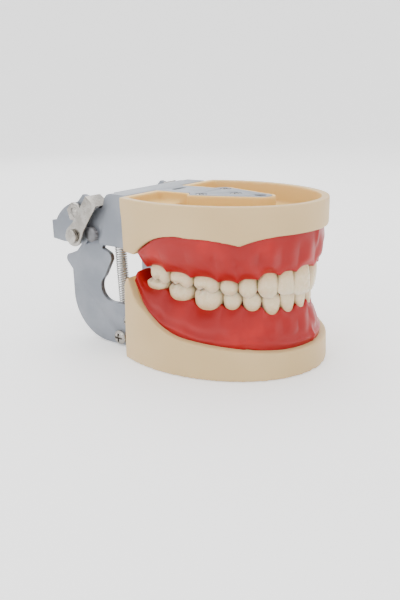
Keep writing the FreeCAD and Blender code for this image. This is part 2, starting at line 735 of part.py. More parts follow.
# ---------------------------------------------------------------- gums
# upper gum: flares from the necks of the teeth out to the base, with the palate across the middle
blank = loft("UpperGumBlank", [
    oval("UpperGumLow", S.arch_half_width + 0.3, S.arch_front + 0.3, S.arch_centre, S.upper_margin),
    oval("UpperGumWaist", S.arch_half_width + 1.0, S.arch_front + 0.6, S.arch_centre, S.upper_margin + 3),
    oval("UpperGumHigh", S.base_half_width - S.gum_inset, S.base_front - S.gum_inset - 0.4, 0.0, 50.5)])
mouth = loft("PalateVault", [
    oval("PalateLow", vault_half, vault_length, S.arch_centre, S.vault_low),
    oval("PalateMid", vault_half, vault_length, S.arch_centre, S.vault_turn),
    oval("PalateTop", S.vault_top_width - 1, S.vault_top_length - 2, S.vault_top_centre, S.palate_height)])
upper_gum_tools = fuse("UpperGumTools", mouth, upper_base, upper_pegs,
                       rear_trim("UpperGumRear", S.ridge_rear), upper_pockets)
upper_gum = node(cut("UpperGum", blank, upper_gum_tools), "upper_gum")

# lower gum: a horseshoe whose top climbs behind the last molars
blank = loft("LowerGumBlank", [
    oval("LowerGumLow", S.base_half_width - S.gum_inset, S.base_front - S.gum_inset, 0.0, S.lower_slab - 1),
    oval("LowerGumBead", S.base_half_width - S.gum_inset, S.base_front - S.gum_inset, 0.0, S.lower_slab + 5),
    oval("LowerGumNeck", S.arch_half_width - S.overjet + 0.4, S.arch_front - S.overjet + 0.4, S.arch_centre,
         S.lower_margin),
    oval("LowerGumTop", S.arch_half_width - S.overjet + 1.0, S.arch_front - S.overjet + 1.0, S.arch_centre,
         S.lower_rise + 0.6)])
top_cut = plane_sketch("LowerGumTopLine", "side", -side_reach / 2)
gum_top = Outline(top_cut, (-(S.base_front + PAST), S.lower_margin))
gum_top.line(S.margin_turn, S.lower_margin)
gum_top.line(S.gum_crest_front, S.lower_margin + (S.gum_crest_front - S.margin_turn) * S.margin_slope)
gum_top.line(S.gum_crest_y, S.gum_crest_z)
gum_top.line(S.base_rear + PAST, S.gum_crest_z)
gum_top.line(S.base_rear + PAST, S.base_total)
gum_top.line(-(S.base_front + PAST), S.base_total)
gum_top.close()
lower_gum_tools = fuse("LowerGumTools", tongue, lower_base, lower_pegs,
                       rear_trim("LowerGumRear", S.gum_rear),
                       prism("LowerGumTopTool", top_cut, side_reach),
                       lower_pockets)
lower_gum = node(cut("LowerGum", blank, lower_gum_tools), "lower_gum")

# ---------------------------------------------------------------- teeth
for spec in upper_specs:
    tooth("upper_" + spec[0], spec, margin_at("upper", spec[5]), tip_at("upper", spec), -1)
for spec in lower_specs:
    tooth("lower_" + spec[0], spec, margin_at("lower", spec[5]), tip_at("lower", spec), 1)


# ---------------------------------------------------------------- tooth screws
TIP_ROOM = 0.4                                 # free depth in the peg beyond the screw's tip
SLOT_LENGTH, SLOT_WIDTH, SLOT_DEPTH = 4.0, 0.5, 0.6


def tooth_screws(label, specs, jaw, up, floor):
    """Screws from the cavity side: the head rests on the cavity floor, the tip is in the peg."""
    shapes = []
    for spec in specs:
        x, y = peg_centre(spec)
        length = abs(float(floor) - peg_end(spec, jaw, up)) + float(S.tooth_screw_bite) - TIP_ROOM
        shank = Part.makeCylinder(float(S.tooth_screw_r), length, V(x, y, float(floor)), V(0, 0, up))
        head = Part.makeCylinder(float(S.tooth_screw_head_r), float(S.tooth_screw_head),
                                 V(x, y, float(floor)), V(0, 0, -up))
        top = float(floor) - up * float(S.tooth_screw_head)
        slot = Part.makeBox(SLOT_LENGTH, SLOT_WIDTH, SLOT_DEPTH,
                            V(x - SLOT_LENGTH / 2, y - SLOT_WIDTH / 2, min(top, top + up * SLOT_DEPTH)))
        shapes.append(head.fuse(shank).cut(slot).removeSplitter())
    return node(frozen(label, Part.makeCompound(shapes)), label)


def peg_end(spec, jaw, up):
    return margin_at(jaw, spec[5]) - up * (COLLAR + float(S.peg_depth))


tooth_screws("upper_tooth_screws", upper_specs, "upper", -1, cavity_floor)
tooth_screws("lower_tooth_screws", lower_specs, "lower", 1, S.lower_cavity)

# ---------------------------------------------------------------- upper frame: plate, bridge, flanges
frame = new_body("UpperFrame")
plate_top = body_sketch(frame, "FramePlate", "XY_Plane", frame_low)
outline = Outline(plate_top, (-S.plate_half_width, S.plate_shoulder))
outline.line(-S.plate_tip_r, S.plate_hole_y)
outline.arc(0.0, S.plate_hole_y - S.plate_tip_r, S.plate_tip_r)
outline.arc(S.plate_tip_r, S.plate_hole_y, S.plate_tip_r)
outline.line(S.plate_half_width, S.plate_shoulder)
outline.line(S.neck_half_width, S.plate_shoulder + 3.0)
outline.line(S.neck_half_width, S.base_rear + S.rear_gap)
outline.line(S.flange_out, S.base_rear + S.rear_gap)
outline.line(S.flange_out, S.bridge_rear - 4.0)
outline.line(S.flange_out - 4.0, S.bridge_rear)
outline.line(-(S.flange_out - 4.0), S.bridge_rear)
outline.line(-S.flange_out, S.bridge_rear - 4.0)
outline.line(-S.flange_out, S.base_rear + S.rear_gap)
outline.line(-S.neck_half_width, S.base_rear + S.rear_gap)
outline.line(-S.neck_half_width, S.plate_shoulder + 3.0)
outline.close()
pad(frame, plate_top, S.plate)

notch_r = S.axle_r + S.running
lean = math.radians(float(S.latch_lean))
seat_along = (math.cos(lean), math.sin(lean))       # the seat's direction, rearwards and up
latch_way = (-math.sin(lean), math.cos(lean))       # from the latch bolt up to its finger tab
seat_far = S.latch_length - S.latch_sheet - 0.15
seat_y = S.latch_y + seat_far * latch_way[0]
seat_z = S.latch_z + seat_far * latch_way[1]
half_seat = S.latch_width / 2 + 0.4
tab_end, tab_top = half_seat + 0.3, S.latch_sheet + 0.6     # the shoulder passes clear of the tab here
back_turn = math.radians(24.0)                      # the seat's rear part is round about the bolt
back_y = S.latch_y + seat_far * (-math.sin(lean - back_turn))
back_z = S.latch_z + seat_far * math.cos(lean - back_turn)
flange_sketch = body_sketch(frame, "FrameFlange", "YZ_Plane", -S.flange_out)
flange = Outline(flange_sketch, (S.base_rear + S.rear_gap, S.flange_low))
flange.line(S.axle_y - notch_r - 1.6, S.flange_low)
flange.arc(S.axle_y - notch_r, S.flange_low + 1.6, 1.6)
flange.line(S.axle_y - notch_r, S.axle_z)
flange.arc(S.axle_y, S.axle_z + notch_r, notch_r, left=False)
flange.arc(S.axle_y + notch_r, S.axle_z, notch_r, left=False)
flange.line(S.axle_y + notch_r, S.flange_low + 0.8)
flange.line(S.axle_y + notch_r + 1.4, S.flange_low - 0.8)
flange.line(S.lug_rear - 6.0, S.flange_low - 0.8)
flange.line(S.lug_rear, S.lug_low)
flange.line(S.lug_rear, S.lug_high)
flange.line(S.lug_rear - 2.4, S.lug_high + 0.2)
flange.arc(S.rod_y - 0.4, S.rod_z + 3.9, 17.0)
flange.line(back_y, back_z)
flange.arc(seat_y, seat_z, seat_far)
flange.line(seat_y - half_seat * seat_along[0], seat_z - half_seat * seat_along[1])
flange.line(seat_y - tab_end * seat_along[0] + tab_top * latch_way[0],
            seat_z - tab_end * seat_along[1] + tab_top * latch_way[1])
flange.line(S.bridge_rear + 1.6, S.base_total - 2.6)
flange.arc(S.bridge_rear - 1.2, S.base_total, 3.4)
flange.line(S.base_rear + S.rear_gap, S.base_total)
flange.close()
pad(frame, flange_sketch, S.sheet)

lug_sketch = body_sketch(frame, "FrameLug", "YZ_Plane", -S.flange_out)
lug = Outline(lug_sketch, (S.lug_rear - S.sheet, S.lug_low))
lug.line(S.lug_rear, S.lug_low)
lug.line(S.lug_rear, S.lug_high)
lug.line(S.lug_rear - S.sheet, S.lug_high)
lug.close()
pad(frame, lug_sketch, S.lug_reach)

holes = body_sketch(frame, "FlangeHoles", "YZ_Plane", -S.flange_out - 1.0)
ring(holes, S.rod_y, S.rod_z, S.rod_r + S.running)
ring(holes, S.latch_y, S.latch_z, S.latch_hole_r + S.running)
doc.recompute()
pocket(frame, holes, S.sheet + 2.0, down=True)
doc.recompute()

mirror = frame.newObject("PartDesign::Mirrored", "FrameMirror")
mirror.Originals = [feature for feature in frame.Group
                    if feature.Name in ("FrameFlangePad", "FrameLugPad", "FlangeHolesPocket")]
origin_plane = [f for f in frame.Origin.OriginFeatures if f.Role == "YZ_Plane"][0]
mirror.MirrorPlane = (origin_plane, [""])
frame.Tip = mirror
doc.recompute()

plate_holes = body_sketch(frame, "PlateHoles", "XY_Plane", frame_low - 1.0)
ring(plate_holes, 0.0, S.plate_hole_y, S.plate_hole_r)
for x, y in PLATE_SCREWS:
    ring(plate_holes, x, y, S.plate_screw_r + S.running)
slot = Outline(plate_holes, (0.0, 16.4))         # keying slot in the neck
slot.line(3.0, 16.4)
slot.arc(4.1, 17.5, 1.1)
slot.arc(3.0, 18.6, 1.1)
slot.line(-3.0, 18.6)
slot.arc(-4.1, 17.5, 1.1)
slot.arc(-3.0, 16.4, 1.1)
slot.close()
pocket(frame, plate_holes, S.plate + 2.0, down=True)
head_seats = body_sketch(frame, "ScrewSeats", "XY_Plane", S.base_total)
for x, y in PLATE_SCREWS:
    ring(head_seats, x, y, S.plate_screw_head_r + S.running)
doc.recompute()
pocket(frame, head_seats, S.plate_screw_head)
upper_frame = node(frame, "upper_frame")

# ---------------------------------------------------------------- lower frame: plate with two ears
lower = new_body("LowerFrame")
plate_low = body_sketch(lower, "LowerPlate", "XY_Plane", 0.0)
ear_out = arm_in
ear_in = ear_out - S.plate
foot_front = S.base_rear + S.rear_gap
outline = Outline(plate_low, (-S.plate_half_width, S.plate_shoulder))
outline.line(-S.plate_tip_r, S.plate_hole_y)
outline.arc(0.0, S.plate_hole_y - S.plate_tip_r, S.plate_tip_r)
outline.arc(S.plate_tip_r, S.plate_hole_y, S.plate_tip_r)
outline.line(S.plate_half_width, S.plate_shoulder)
outline.line(S.neck_half_width, S.plate_shoulder + 3.0)
outline.line(S.neck_half_width, foot_front)
outline.line(ear_out, foot_front)
outline.line(ear_out, S.ear_rear)
outline.line(-ear_out, S.ear_rear)
outline.line(-ear_out, foot_front)
outline.line(-S.neck_half_width, foot_front)
outline.line(-S.neck_half_width, S.plate_shoulder + 3.0)
outline.close()
pad(lower, plate_low, S.plate)

ARM_SCREWS = [(S.low_screw_y, S.low_screw_z), (S.high_screw_y, S.high_screw_z)]    # (y, z), each side
ear_sketch = body_sketch(lower, "LowerEar", "YZ_Plane", -ear_out)
ear = Outline(ear_sketch, (foot_front, 0.0))
ear.line(S.ear_rear, 0.0)
ear.line(S.ear_rear, S.ear_height - 3.0)
ear.arc(S.ear_rear - 3.0, S.ear_height, 3.0)
ear.line(foot_front, S.ear_height)
ear.close()
pad(lower, ear_sketch, S.plate)
holes = body_sketch(lower, "EarHoles", "YZ_Plane", -ear_out - 1.0)
for y, z in ARM_SCREWS:
    ring(holes, y, z, S.screw_r + S.running)
doc.recompute()
pocket(lower, holes, S.plate + 2.0, down=True)
doc.recompute()
mirror = lower.newObject("PartDesign::Mirrored", "LowerMirror")
mirror.Originals = [feature for feature in lower.Group if feature.Name in ("LowerEarPad", "EarHolesPocket")]
mirror.MirrorPlane = ([f for f in lower.Origin.OriginFeatures if f.Role == "YZ_Plane"][0], [""])
lower.Tip = mirror
doc.recompute()
plate_holes = body_sketch(lower, "LowerPlateHoles", "XY_Plane", -1.0)
ring(plate_holes, 0.0, S.plate_hole_y, S.plate_hole_r)
for x, y in PLATE_SCREWS:
    ring(plate_holes, x, y, S.plate_screw_r + S.running)
pocket(lower, plate_holes, S.plate + 2.0, down=True)
head_seats = body_sketch(lower, "LowerScrewSeats", "XY_Plane", 0.0)
for x, y in PLATE_SCREWS:
    ring(head_seats, x, y, S.plate_screw_head_r + S.running)
doc.recompute()
pocket(lower, head_seats, S.plate_screw_head, down=True)
lower_frame = node(lower, "lower_frame")

# ---------------------------------------------------------------- crescent arms
arm = new_body("RightArm")
arm_sketch = body_sketch(arm, "ArmProfile", "YZ_Plane", -arm_out)
back_r = S.arm_back - S.cutout_y - 3.1            # radius of the sweeping back edge
back_centre = S.arm_low + back_r
cut_left = S.cutout_y + S.cutout_r
profile = Outline(arm_sketch, (foot_front, S.arm_low))
profile.line(S.arm_back - back_r, S.arm_low)
profile.arc(S.arm_back, back_centre, back_r)
profile.line(S.arm_back, S.knob_z - S.knob_r - 2.2)
profile.line(S.knob_y + S.knob_r * 0.6, S.knob_z - S.knob_r * 0.8)
profile.arc(S.knob_y + S.knob_r, S.knob_z, S.knob_r)
profile.arc(S.knob_y, S.knob_z + S.knob_r, S.knob_r)
profile.line(S.axle_y + 11.6, S.axle_z - 8.6)
profile.line(S.axle_y + S.arm_top_r, S.axle_z - 1.2)
profile.line(S.axle_y + S.arm_top_r, S.axle_z)
profile.arc(S.axle_y, S.axle_z + S.arm_top_r, S.arm_top_r)
profile.arc(S.axle_y - S.arm_top_r, S.axle_z, S.arm_top_r)
profile.line(S.axle_y - S.arm_top_r + 2.6, S.axle_z - 6.0)
profile.line(S.axle_y - 6.0, S.axle_z - 7.6)
profile.arc(S.axle_y - 6.9, S.axle_z - 10.4, 2.6)
profile.line(S.cutout_y + S.cutout_r * 0.6, S.cutout_z + S.cutout_r * 0.8)
profile.arc(cut_left, S.cutout_z, S.cutout_r, left=False)
profile.arc(S.cutout_y, S.cutout_z - S.cutout_r, S.cutout_r, left=False)
profile.line(foot_front, S.cutout_z - S.cutout_r)
profile.close()
pad(arm, arm_sketch, S.sheet)
holes = body_sketch(arm, "ArmHoles", "YZ_Plane", -arm_out - 1.0)
ring(holes, S.axle_y, S.axle_z, S.axle_r)
for y, z in ARM_SCREWS:
    ring(holes, y, z, S.screw_r + S.running)
doc.recompute()
pocket(arm, holes, S.sheet + 2.0, down=True)
right_arm = node(arm, "right_arm")
left_arm = mirrored("left_arm", arm)

# ---------------------------------------------------------------- turned parts that lie across
ALONG_X = V(0, 1, 0)


def cross_piece(name, label, steps, y, z):
    """A turned piece lying across the model: steps are (radius, x) from left to right."""
    piece = turned(name, steps)
    place(piece, 0.0, y, z, ALONG_X, 90)
    return node(piece, label)


axle_end = S.flange_out + S.axle_over
cross_piece("HingeAxle", "hinge_axle",
            [(S.axle_r - 0.4, -axle_end), (S.axle_r, -(axle_end - 0.4)), (S.axle_r, axle_end - 0.4),
             (S.axle_r - 0.4, axle_end)], S.axle_y, S.axle_z)
rod_end = S.flange_out + S.nut_height
cross_piece("CrossRod", "cross_rod", [(S.rod_r, -rod_end), (S.rod_r, rod_end)], S.rod_y, S.rod_z)


def nut(name, side):
    """A thin hexagon nut on one end of the cross rod."""
    body = new_body(name)
    low = -rod_end if side < 0 else S.flange_out
    sketch = body_sketch(body, name + "Hexagon", "YZ_Plane", low)
    corner = S.nut_flats / math.sqrt(3)
    points = [(S.rod_y + corner * math.cos(math.radians(60 * i + 12)),
               S.rod_z + corner * math.sin(math.radians(60 * i + 12))) for i in range(6)]
    hexagon = Outline(sketch, points[0])
    for y, z in points[1:]:
        hexagon.line(y, z)
    hexagon.close()
    pad(body, sketch, S.nut_height)
    hole = body_sketch(body, name + "Hole", "YZ_Plane", low - 1.0)
    ring(hole, S.rod_y, S.rod_z, S.rod_r)
    doc.recompute()
    pocket(body, hole, S.nut_height + 2.0, down=True)
    return body


def pair(label, right, left):
    """A right and a left piece that share a node."""
    feature = doc.addObject("Part::Compound", label)
    feature.Links = [right, left]
    return node(feature, label)


pair("cross_rod_nuts", nut("RightNut", -1), nut("LeftNut", 1))


def side_turned(name, side, steps, y, z):
    """A turned piece on one side: steps are (radius, distance out from the mid-plane)."""
    piece = turned(name + ("Right" if side < 0 else "Left"), steps)
    return place(piece, 0.0, y, z, ALONG_X, 90 * side)


def side_pair(label, name, steps, y, z):
    return pair(label, side_turned(name, -1, steps, y, z), side_turned(name, 1, steps, y, z))


strip_in = S.flange_out + S.latch_stand + S.latch_play
strip_out = strip_in + S.latch_sheet
head_in = strip_out + S.latch_play
side_pair("latch_bolts", "LatchBolt",
          [(S.latch_hole_r, flange_in), (S.latch_hole_r, head_in), (S.latch_head_r, head_in),
           (S.latch_head_r, head_in + S.latch_head - 0.4), (S.latch_head_r - 0.4, head_in + S.latch_head)],
          S.latch_y, S.latch_z)


def tube(name, outer_r, inner_r, length, y, z, x):
    """A plain ring lying across the model, from x outwards along +X."""
    outside = rod(name + "Out", outer_r, length, x, y, z, ALONG_X, 90)
    inside = rod(name + "In", inner_r, length + 2, x - 1, y, z, ALONG_X, 90)
    return cut(name, outside, inside)


pair("latch_spacers",
     tube("SpacerRight", S.latch_hole_r + 1.3, S.latch_hole_r + S.running, S.latch_stand,
          S.latch_y, S.latch_z, -(S.flange_out + S.latch_stand)),
     tube("SpacerLeft", S.latch_hole_r + 1.3, S.latch_hole_r + S.running, S.latch_stand,
          S.latch_y, S.latch_z, S.flange_out))

# studs welded to the flanges and the ears; a spring hook goes round each
pin_in = S.spring_x - S.spring_r
side_pair("upper_spring_pins", "UpperPin",
          [(S.pin_r, pin_in), (S.pin_r, flange_in)], S.upper_pin_y, S.upper_pin_z)
side_pair("lower_spring_pins", "LowerPin",
          [(S.pin_r, pin_in), (S.pin_r, ear_in)], S.lower_pin_y, S.lower_pin_z)

# ---------------------------------------------------------------- latch clips
latch = new_body("RightLatch")
strip = body_sketch(latch, "LatchStrip", "YZ_Plane", -strip_out)
half = S.latch_width / 2


def latch_point(along, across):
    """A place on the strip: along it from the bolt, and across it towards the back."""
    return (S.latch_y + along * latch_way[0] + across * seat_along[0],
            S.latch_z + along * latch_way[1] + across * seat_along[1])


outline = Outline(strip, latch_point(0.0, S.latch_end_r))
outline.line(*latch_point(5.0, half))
outline.line(*latch_point(S.latch_length, half))
outline.line(*latch_point(S.latch_length, -half))
outline.line(*latch_point(5.0, -half))
outline.line(*latch_point(0.0, -S.latch_end_r))
outline.arc(*latch_point(-S.latch_end_r, 0.0), S.latch_end_r)
outline.arc(*latch_point(0.0, S.latch_end_r), S.latch_end_r)
doc.recompute()
pad(latch, strip, S.latch_sheet)
tab = body_sketch(latch, "LatchTab", "YZ_Plane", -strip_out)
outline = Outline(tab, latch_point(S.latch_length, half))
outline.line(*latch_point(S.latch_length, -half))
outline.line(*latch_point(S.latch_length - S.latch_sheet, -half))
outline.line(*latch_point(S.latch_length - S.latch_sheet, half))
outline.close()
pad(latch, tab, S.latch_tab)
hole = body_sketch(latch, "LatchHole", "YZ_Plane", -strip_out - 1.0)
ring(hole, S.latch_y, S.latch_z, S.latch_hole_r + S.running)
doc.recompute()
pocket(latch, hole, S.latch_sheet + 2.0, down=True)
right_latch = node(latch, "right_latch")
left_latch = mirrored("left_latch", latch)

# ---------------------------------------------------------------- closing springs
for side, label in ((-1, "right_spring"), (1, "left_spring")):
    top = V(side * float(S.spring_x), float(S.upper_pin_y), float(S.upper_pin_z) - float(S.pin_r) - 0.3)
    foot = V(side * float(S.spring_x), float(S.lower_pin_y), float(S.lower_pin_z) + float(S.pin_r) + 0.3)
    run = foot - top
    outside = Part.makeCylinder(float(S.spring_r), run.Length, top, run)
    inside = Part.makeCylinder(float(S.spring_r - S.spring_wire), run.Length, top, run)
    node(frozen(label, outside.cut(inside)), label)


# ---------------------------------------------------------------- frame screws
def pan_screw(name, shank_r, head_r, head, length, cross=0.9):
    """A pan-head cross-recess screw standing on the floor plane, its tip downwards."""
    body = turned(name, [(shank_r - 0.3, -length), (shank_r, -(length - 0.4)), (shank_r, 0.0),
                         (head_r, 0.0), (head_r, head * 0.45), (head_r * 0.72, head * 0.88),
                         (head_r * 0.4, head)])
    doc.recompute()
    slot = body_sketch(body, name + "Cross", "XY_Plane", head + 0.01)
    arm_length, arm_half = head_r * 0.62, 0.28 * shank_r
    points = [(arm_half, arm_half), (arm_length, arm_half), (arm_length, -arm_half), (arm_half, -arm_half),
              (arm_half, -arm_length), (-arm_half, -arm_length), (-arm_half, -arm_half),
              (-arm_length, -arm_half), (-arm_length, arm_half), (-arm_half, arm_half),
              (-arm_half, arm_length), (arm_half, arm_length)]
    cross_outline = Outline(slot, points[0])
    for u, v in points[1:]:
        cross_outline.line(u, v)
    cross_outline.close()
    doc.recompute()
    pocket(body, slot, head * cross)
    return body


plate_screw = pan_screw("PlateScrew", S.plate_screw_r, S.plate_screw_head_r, S.plate_screw_head,
                        S.plate_screw_length, 0.7)
upright = FreeCAD.Rotation()
flipped = FreeCAD.Rotation(V(1, 0, 0), 180)
copies("upper_plate_screws", plate_screw,
       [FreeCAD.Placement(V(float(x), float(y), float(S.base_total - S.plate_screw_head)), upright)
        for x, y in PLATE_SCREWS])
copies("lower_plate_screws", plate_screw,
       [FreeCAD.Placement(V(float(x), float(y), float(S.plate_screw_head)), flipped)
        for x, y in PLATE_SCREWS])
arm_screw = pan_screw("ArmScrew", S.screw_r, S.pan_head_r, S.pan_head, S.sheet + S.plate + 1.0)
copies("arm_screws", arm_screw,
       [FreeCAD.Placement(V(side * float(arm_out), float(y), float(z)), FreeCAD.Rotation(ALONG_X, 90 * side))
        for side in (-1, 1) for y, z in ARM_SCREWS])

# ---------------------------------------------------------------- checks and export
doc.recompute()
failed = [obj.Label for obj in doc.Objects if "Invalid" in obj.State or "Error" in obj.State]
if failed:
    raise SystemExit("features in error: " + ", ".join(failed))
for obj in nodes:
    if obj.Shape.isNull() or not obj.Shape.isValid() or not obj.Shape.Solids:
        raise SystemExit("bad solid: " + obj.Label)
os.makedirs("parts", exist_ok=True)
for obj in nodes:
    obj.Shape.exportStep(os.path.join("parts", obj.Label + ".step"))
print("%d nodes, %d solids" % (len(nodes), sum(len(obj.Shape.Solids) for obj in nodes)))
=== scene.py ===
import bpy
import math
from mathutils import Matrix, Vector, noise


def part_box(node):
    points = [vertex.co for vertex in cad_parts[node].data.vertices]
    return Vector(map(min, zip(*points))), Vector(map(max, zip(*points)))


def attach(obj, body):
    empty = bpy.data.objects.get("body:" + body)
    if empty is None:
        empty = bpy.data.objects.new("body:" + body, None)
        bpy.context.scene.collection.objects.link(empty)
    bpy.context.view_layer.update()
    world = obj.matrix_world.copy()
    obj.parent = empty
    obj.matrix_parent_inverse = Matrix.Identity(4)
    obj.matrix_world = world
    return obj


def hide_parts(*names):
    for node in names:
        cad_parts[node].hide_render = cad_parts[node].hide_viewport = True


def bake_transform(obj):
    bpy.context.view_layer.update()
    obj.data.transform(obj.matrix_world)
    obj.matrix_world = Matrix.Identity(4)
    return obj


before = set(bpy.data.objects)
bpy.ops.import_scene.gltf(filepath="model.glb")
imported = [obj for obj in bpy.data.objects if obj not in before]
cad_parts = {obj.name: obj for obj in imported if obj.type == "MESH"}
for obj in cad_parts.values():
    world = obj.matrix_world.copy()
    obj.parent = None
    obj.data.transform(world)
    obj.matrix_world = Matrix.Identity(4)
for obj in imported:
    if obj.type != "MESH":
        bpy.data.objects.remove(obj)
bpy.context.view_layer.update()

# ---------------------------------------------------------------- view: camera, floor and studio light
# The model is seen from the patient's right and a little above, as on a product table.
# A pale floor sweeps up into a wall; one large softbox hangs overhead and three weaker ones stand
# to the left, in front and behind.
MM = 0.001
AZIMUTH, ELEVATION, ROLL = math.radians(-54.7), math.radians(17.32), math.radians(-0.9)
DISTANCE, LENS = 260.65 * MM, 39.58
TARGET = Vector((-6.92, 3.35, 19.55)) * MM
SENSOR, NEAREST = 36.0, 10 * MM                 # sensor width in mm, and the nearest thing drawn

towards_camera = Vector((math.sin(AZIMUTH) * math.cos(ELEVATION),
                         -math.cos(AZIMUTH) * math.cos(ELEVATION), math.sin(ELEVATION)))
camera_data = bpy.data.cameras.new("camera")
camera_data.lens, camera_data.sensor_width, camera_data.sensor_fit = LENS, SENSOR, "AUTO"
camera_data.clip_start = NEAREST
camera = bpy.data.objects.new("camera", camera_data)
bpy.context.scene.collection.objects.link(camera)
camera.location = TARGET + towards_camera * DISTANCE
facing = towards_camera.to_track_quat("Z", "Y").to_matrix().to_4x4()
camera.matrix_world = Matrix.Translation(camera.location) @ facing @ Matrix.Rotation(ROLL, 4, "Z")
bpy.context.scene.camera = camera


def deselect():
    """Nothing selected, nothing active, object mode."""
    if bpy.context.object and bpy.context.object.mode != "OBJECT":
        bpy.ops.object.mode_set(mode="OBJECT")
    bpy.ops.object.select_all(action="DESELECT")


MODEL_MIDDLE = Vector((0, 0, 30)) * MM
LIGHTS = (                                      # name, place, size across and power, in metres and watts
    ("top_light", (0.10, 0.15, 0.75), 0.60, 3.6), ("side_light", (-0.70, 0.15, 0.35), 0.45, 1.5),
    ("front_light", (0.10, -0.80, 0.40), 0.40, 0.8), ("back_light", (0.45, 0.60, 0.45), 0.45, 1.2))
for name, place, size, power in LIGHTS:
    data = bpy.data.lights.new(name, "AREA")
    data.shape, data.size, data.energy = "SQUARE", size, power
    lamp = bpy.data.objects.new(name, data)
    bpy.context.scene.collection.objects.link(lamp)
    lamp.location = place
    lamp.rotation_euler = (Vector(place) - MODEL_MIDDLE).to_track_quat("Z", "Y").to_euler()


class Shade:
    """A shader socket that can be used in sums; `node` adds any other node to its tree."""

    def __init__(self, tree, socket=None):
        self.tree, self.socket = tree, socket

    def node(self, kind, settings=(), inputs=(), output=0):
        """Add a node: its settings first, then the values or links of its sockets."""
        made = self.tree.nodes.new(kind)
        for name, value in dict(settings).items():
            setattr(made, name, value)
        for name, value in dict(inputs).items():
            if isinstance(value, Shade):
                self.tree.links.new(value.socket, made.inputs[name])
            else:
                made.inputs[name].default_value = value
        return Shade(self.tree, made.outputs[output])

    def __add__(self, other):
        return self.node("ShaderNodeMath", {"operation": "ADD"}, {0: self, 1: other})

    def __mul__(self, other):
        return self.node("ShaderNodeMath", {"operation": "MULTIPLY"}, {0: self, 1: other})

    __radd__, __rmul__ = __add__, __mul__

    def noise(self, scale, detail=3.0, roughness=0.5, where=None):
        """Cloudy noise from 0 to 1 in the object's own metres."""
        where = where or self.node("ShaderNodeTexCoord", output="Object")
        return self.node("ShaderNodeTexNoise", {},
                         {"Vector": where, "Scale": scale, "Detail": detail, "Roughness": roughness})

    def between(self, low, high):
        """Stretch low..high to 0..1, clamped and smooth."""
        return self.node("ShaderNodeMapRange", {"interpolation_type": "SMOOTHSTEP"},
                         {"Value": self, "From Min": low, "From Max": high})

    def mix(self, first, second):
        """A colour between two, by this mask."""
        def colour(value):
            return value if isinstance(value, Shade) else (*value, 1.0)
        return self.node("ShaderNodeMix", {"data_type": "RGBA"},
                         {0: self, 6: colour(first), 7: colour(second)}, output=2)

    def bump(self, distance, strength):
        """This height, in metres times distance, as a normal."""
        return self.node("ShaderNodeBump", {}, {"Height": self, "Distance": distance, "Strength": strength})


def finish_material(name, **numbers):
    """A new material with its uniform numbers set; returns it, a Shade, and a function that links."""
    material = bpy.data.materials.new(name)
    material.use_nodes = True
    tree = material.node_tree
    shader = tree.nodes["Principled BSDF"]
    for socket, value in numbers.items():
        shader.inputs[socket.replace("_", " ")].default_value = value

    def feed(**sockets):
        for socket, value in sockets.items():
            tree.links.new(value.socket, shader.inputs[socket.replace("_", " ")])
    return material, Shade(tree), feed


FLOOR_RADIUS, SWEEP, SWEEP_STEPS, FLOOR_DROP = 1.1, 0.8, 9, 0.2 * MM
FLOOR_GREY, FLOOR_WHITE, FLOOR_GLOW, SKY_GLOW = (0.86, 0.86, 0.86), (0.89, 0.89, 0.89), 0.42, 0.25
deselect()
bpy.ops.mesh.primitive_circle_add(vertices=128, radius=FLOOR_RADIUS, fill_type="NGON",
                                  location=(0, 0, -FLOOR_DROP))
floor = bpy.context.object
floor.name = "floor"
bpy.ops.object.mode_set(mode="EDIT")
bpy.ops.mesh.select_all(action="SELECT")
angles = [math.radians(90 * step / SWEEP_STEPS) for step in range(SWEEP_STEPS + 1)]
for low, high in zip(angles, angles[1:]):       # the sweep that turns the floor up into a wall
    grown = (FLOOR_RADIUS + SWEEP * math.sin(high)) / (FLOOR_RADIUS + SWEEP * math.sin(low))
    risen = SWEEP * (math.cos(low) - math.cos(high))
    bpy.ops.mesh.extrude_region_move(TRANSFORM_OT_translate={"value": (0, 0, risen)})
    bpy.ops.transform.resize(value=(grown, grown, 1))
bpy.ops.object.mode_set(mode="OBJECT")
bpy.ops.object.shade_smooth()
floor_material, shade, feed = finish_material("studio_floor", Specular_IOR_Level=0.15,
                                              Emission_Color=(1, 1, 1, 1), Emission_Strength=FLOOR_GLOW)
feed(Base_Color=shade.noise(2.0).mix(FLOOR_GREY, FLOOR_WHITE), Roughness=shade.noise(3.0) * 0.1 + 0.6)
floor.data.materials.append(floor_material)
world = bpy.data.worlds.new("studio")
world.use_nodes = True
world.node_tree.nodes["Background"].inputs["Color"].default_value = (1.0, 1.0, 1.0, 1.0)
world.node_tree.nodes["Background"].inputs["Strength"].default_value = SKY_GLOW
bpy.context.scene.world = world

# ---------------------------------------------------------------- jaw bases
# Two D-shaped shells of cast cream resin with soft moulded edges.  The upper one is an open tray
# with a boss for the steel plate; the lower one stands on its rim and wraps the gum's rear ends.
BASE_OVAL = 35.0, 44.2                          # half-width and half-length of both bases, in mm
PAINTED_BOUNCE_OVAL = 0.0322, 0.0414                      # inside this oval, in metres, the resin gets a painted warm bounce light
# The third colour is painted warm light bounced inside the cavity; the first two are the resin's own cloudy
# tone.
CREAM_DEEP, CREAM_PALE, CREAM_PAINTED_BOUNCE = (0.520, 0.365, 0.175), (0.575, 0.415, 0.210), (0.720, 0.450, 0.140)
CAST_GRAIN, CAST_PASSES = 0.55 * MM, 4          # cell size and smoothing passes of the soft edges
CREST_BACK, CREST_FOOT, CREST_TALL = 2.6, 17.0, 9.0     # the lower rear crest: how far back, from where up
CREST_FRONT, CREST_END = (6.0, 5.0), (21.6, 5.5)        # and its start and end in y, with their ease
cream, shade, feed = finish_material("cream_resin", Subsurface_Weight=0.12, Subsurface_Scale=0.003,
                                     Specular_IOR_Level=0.3)
clouds = shade.noise(28.0, 2.0).between(0.3, 0.7)
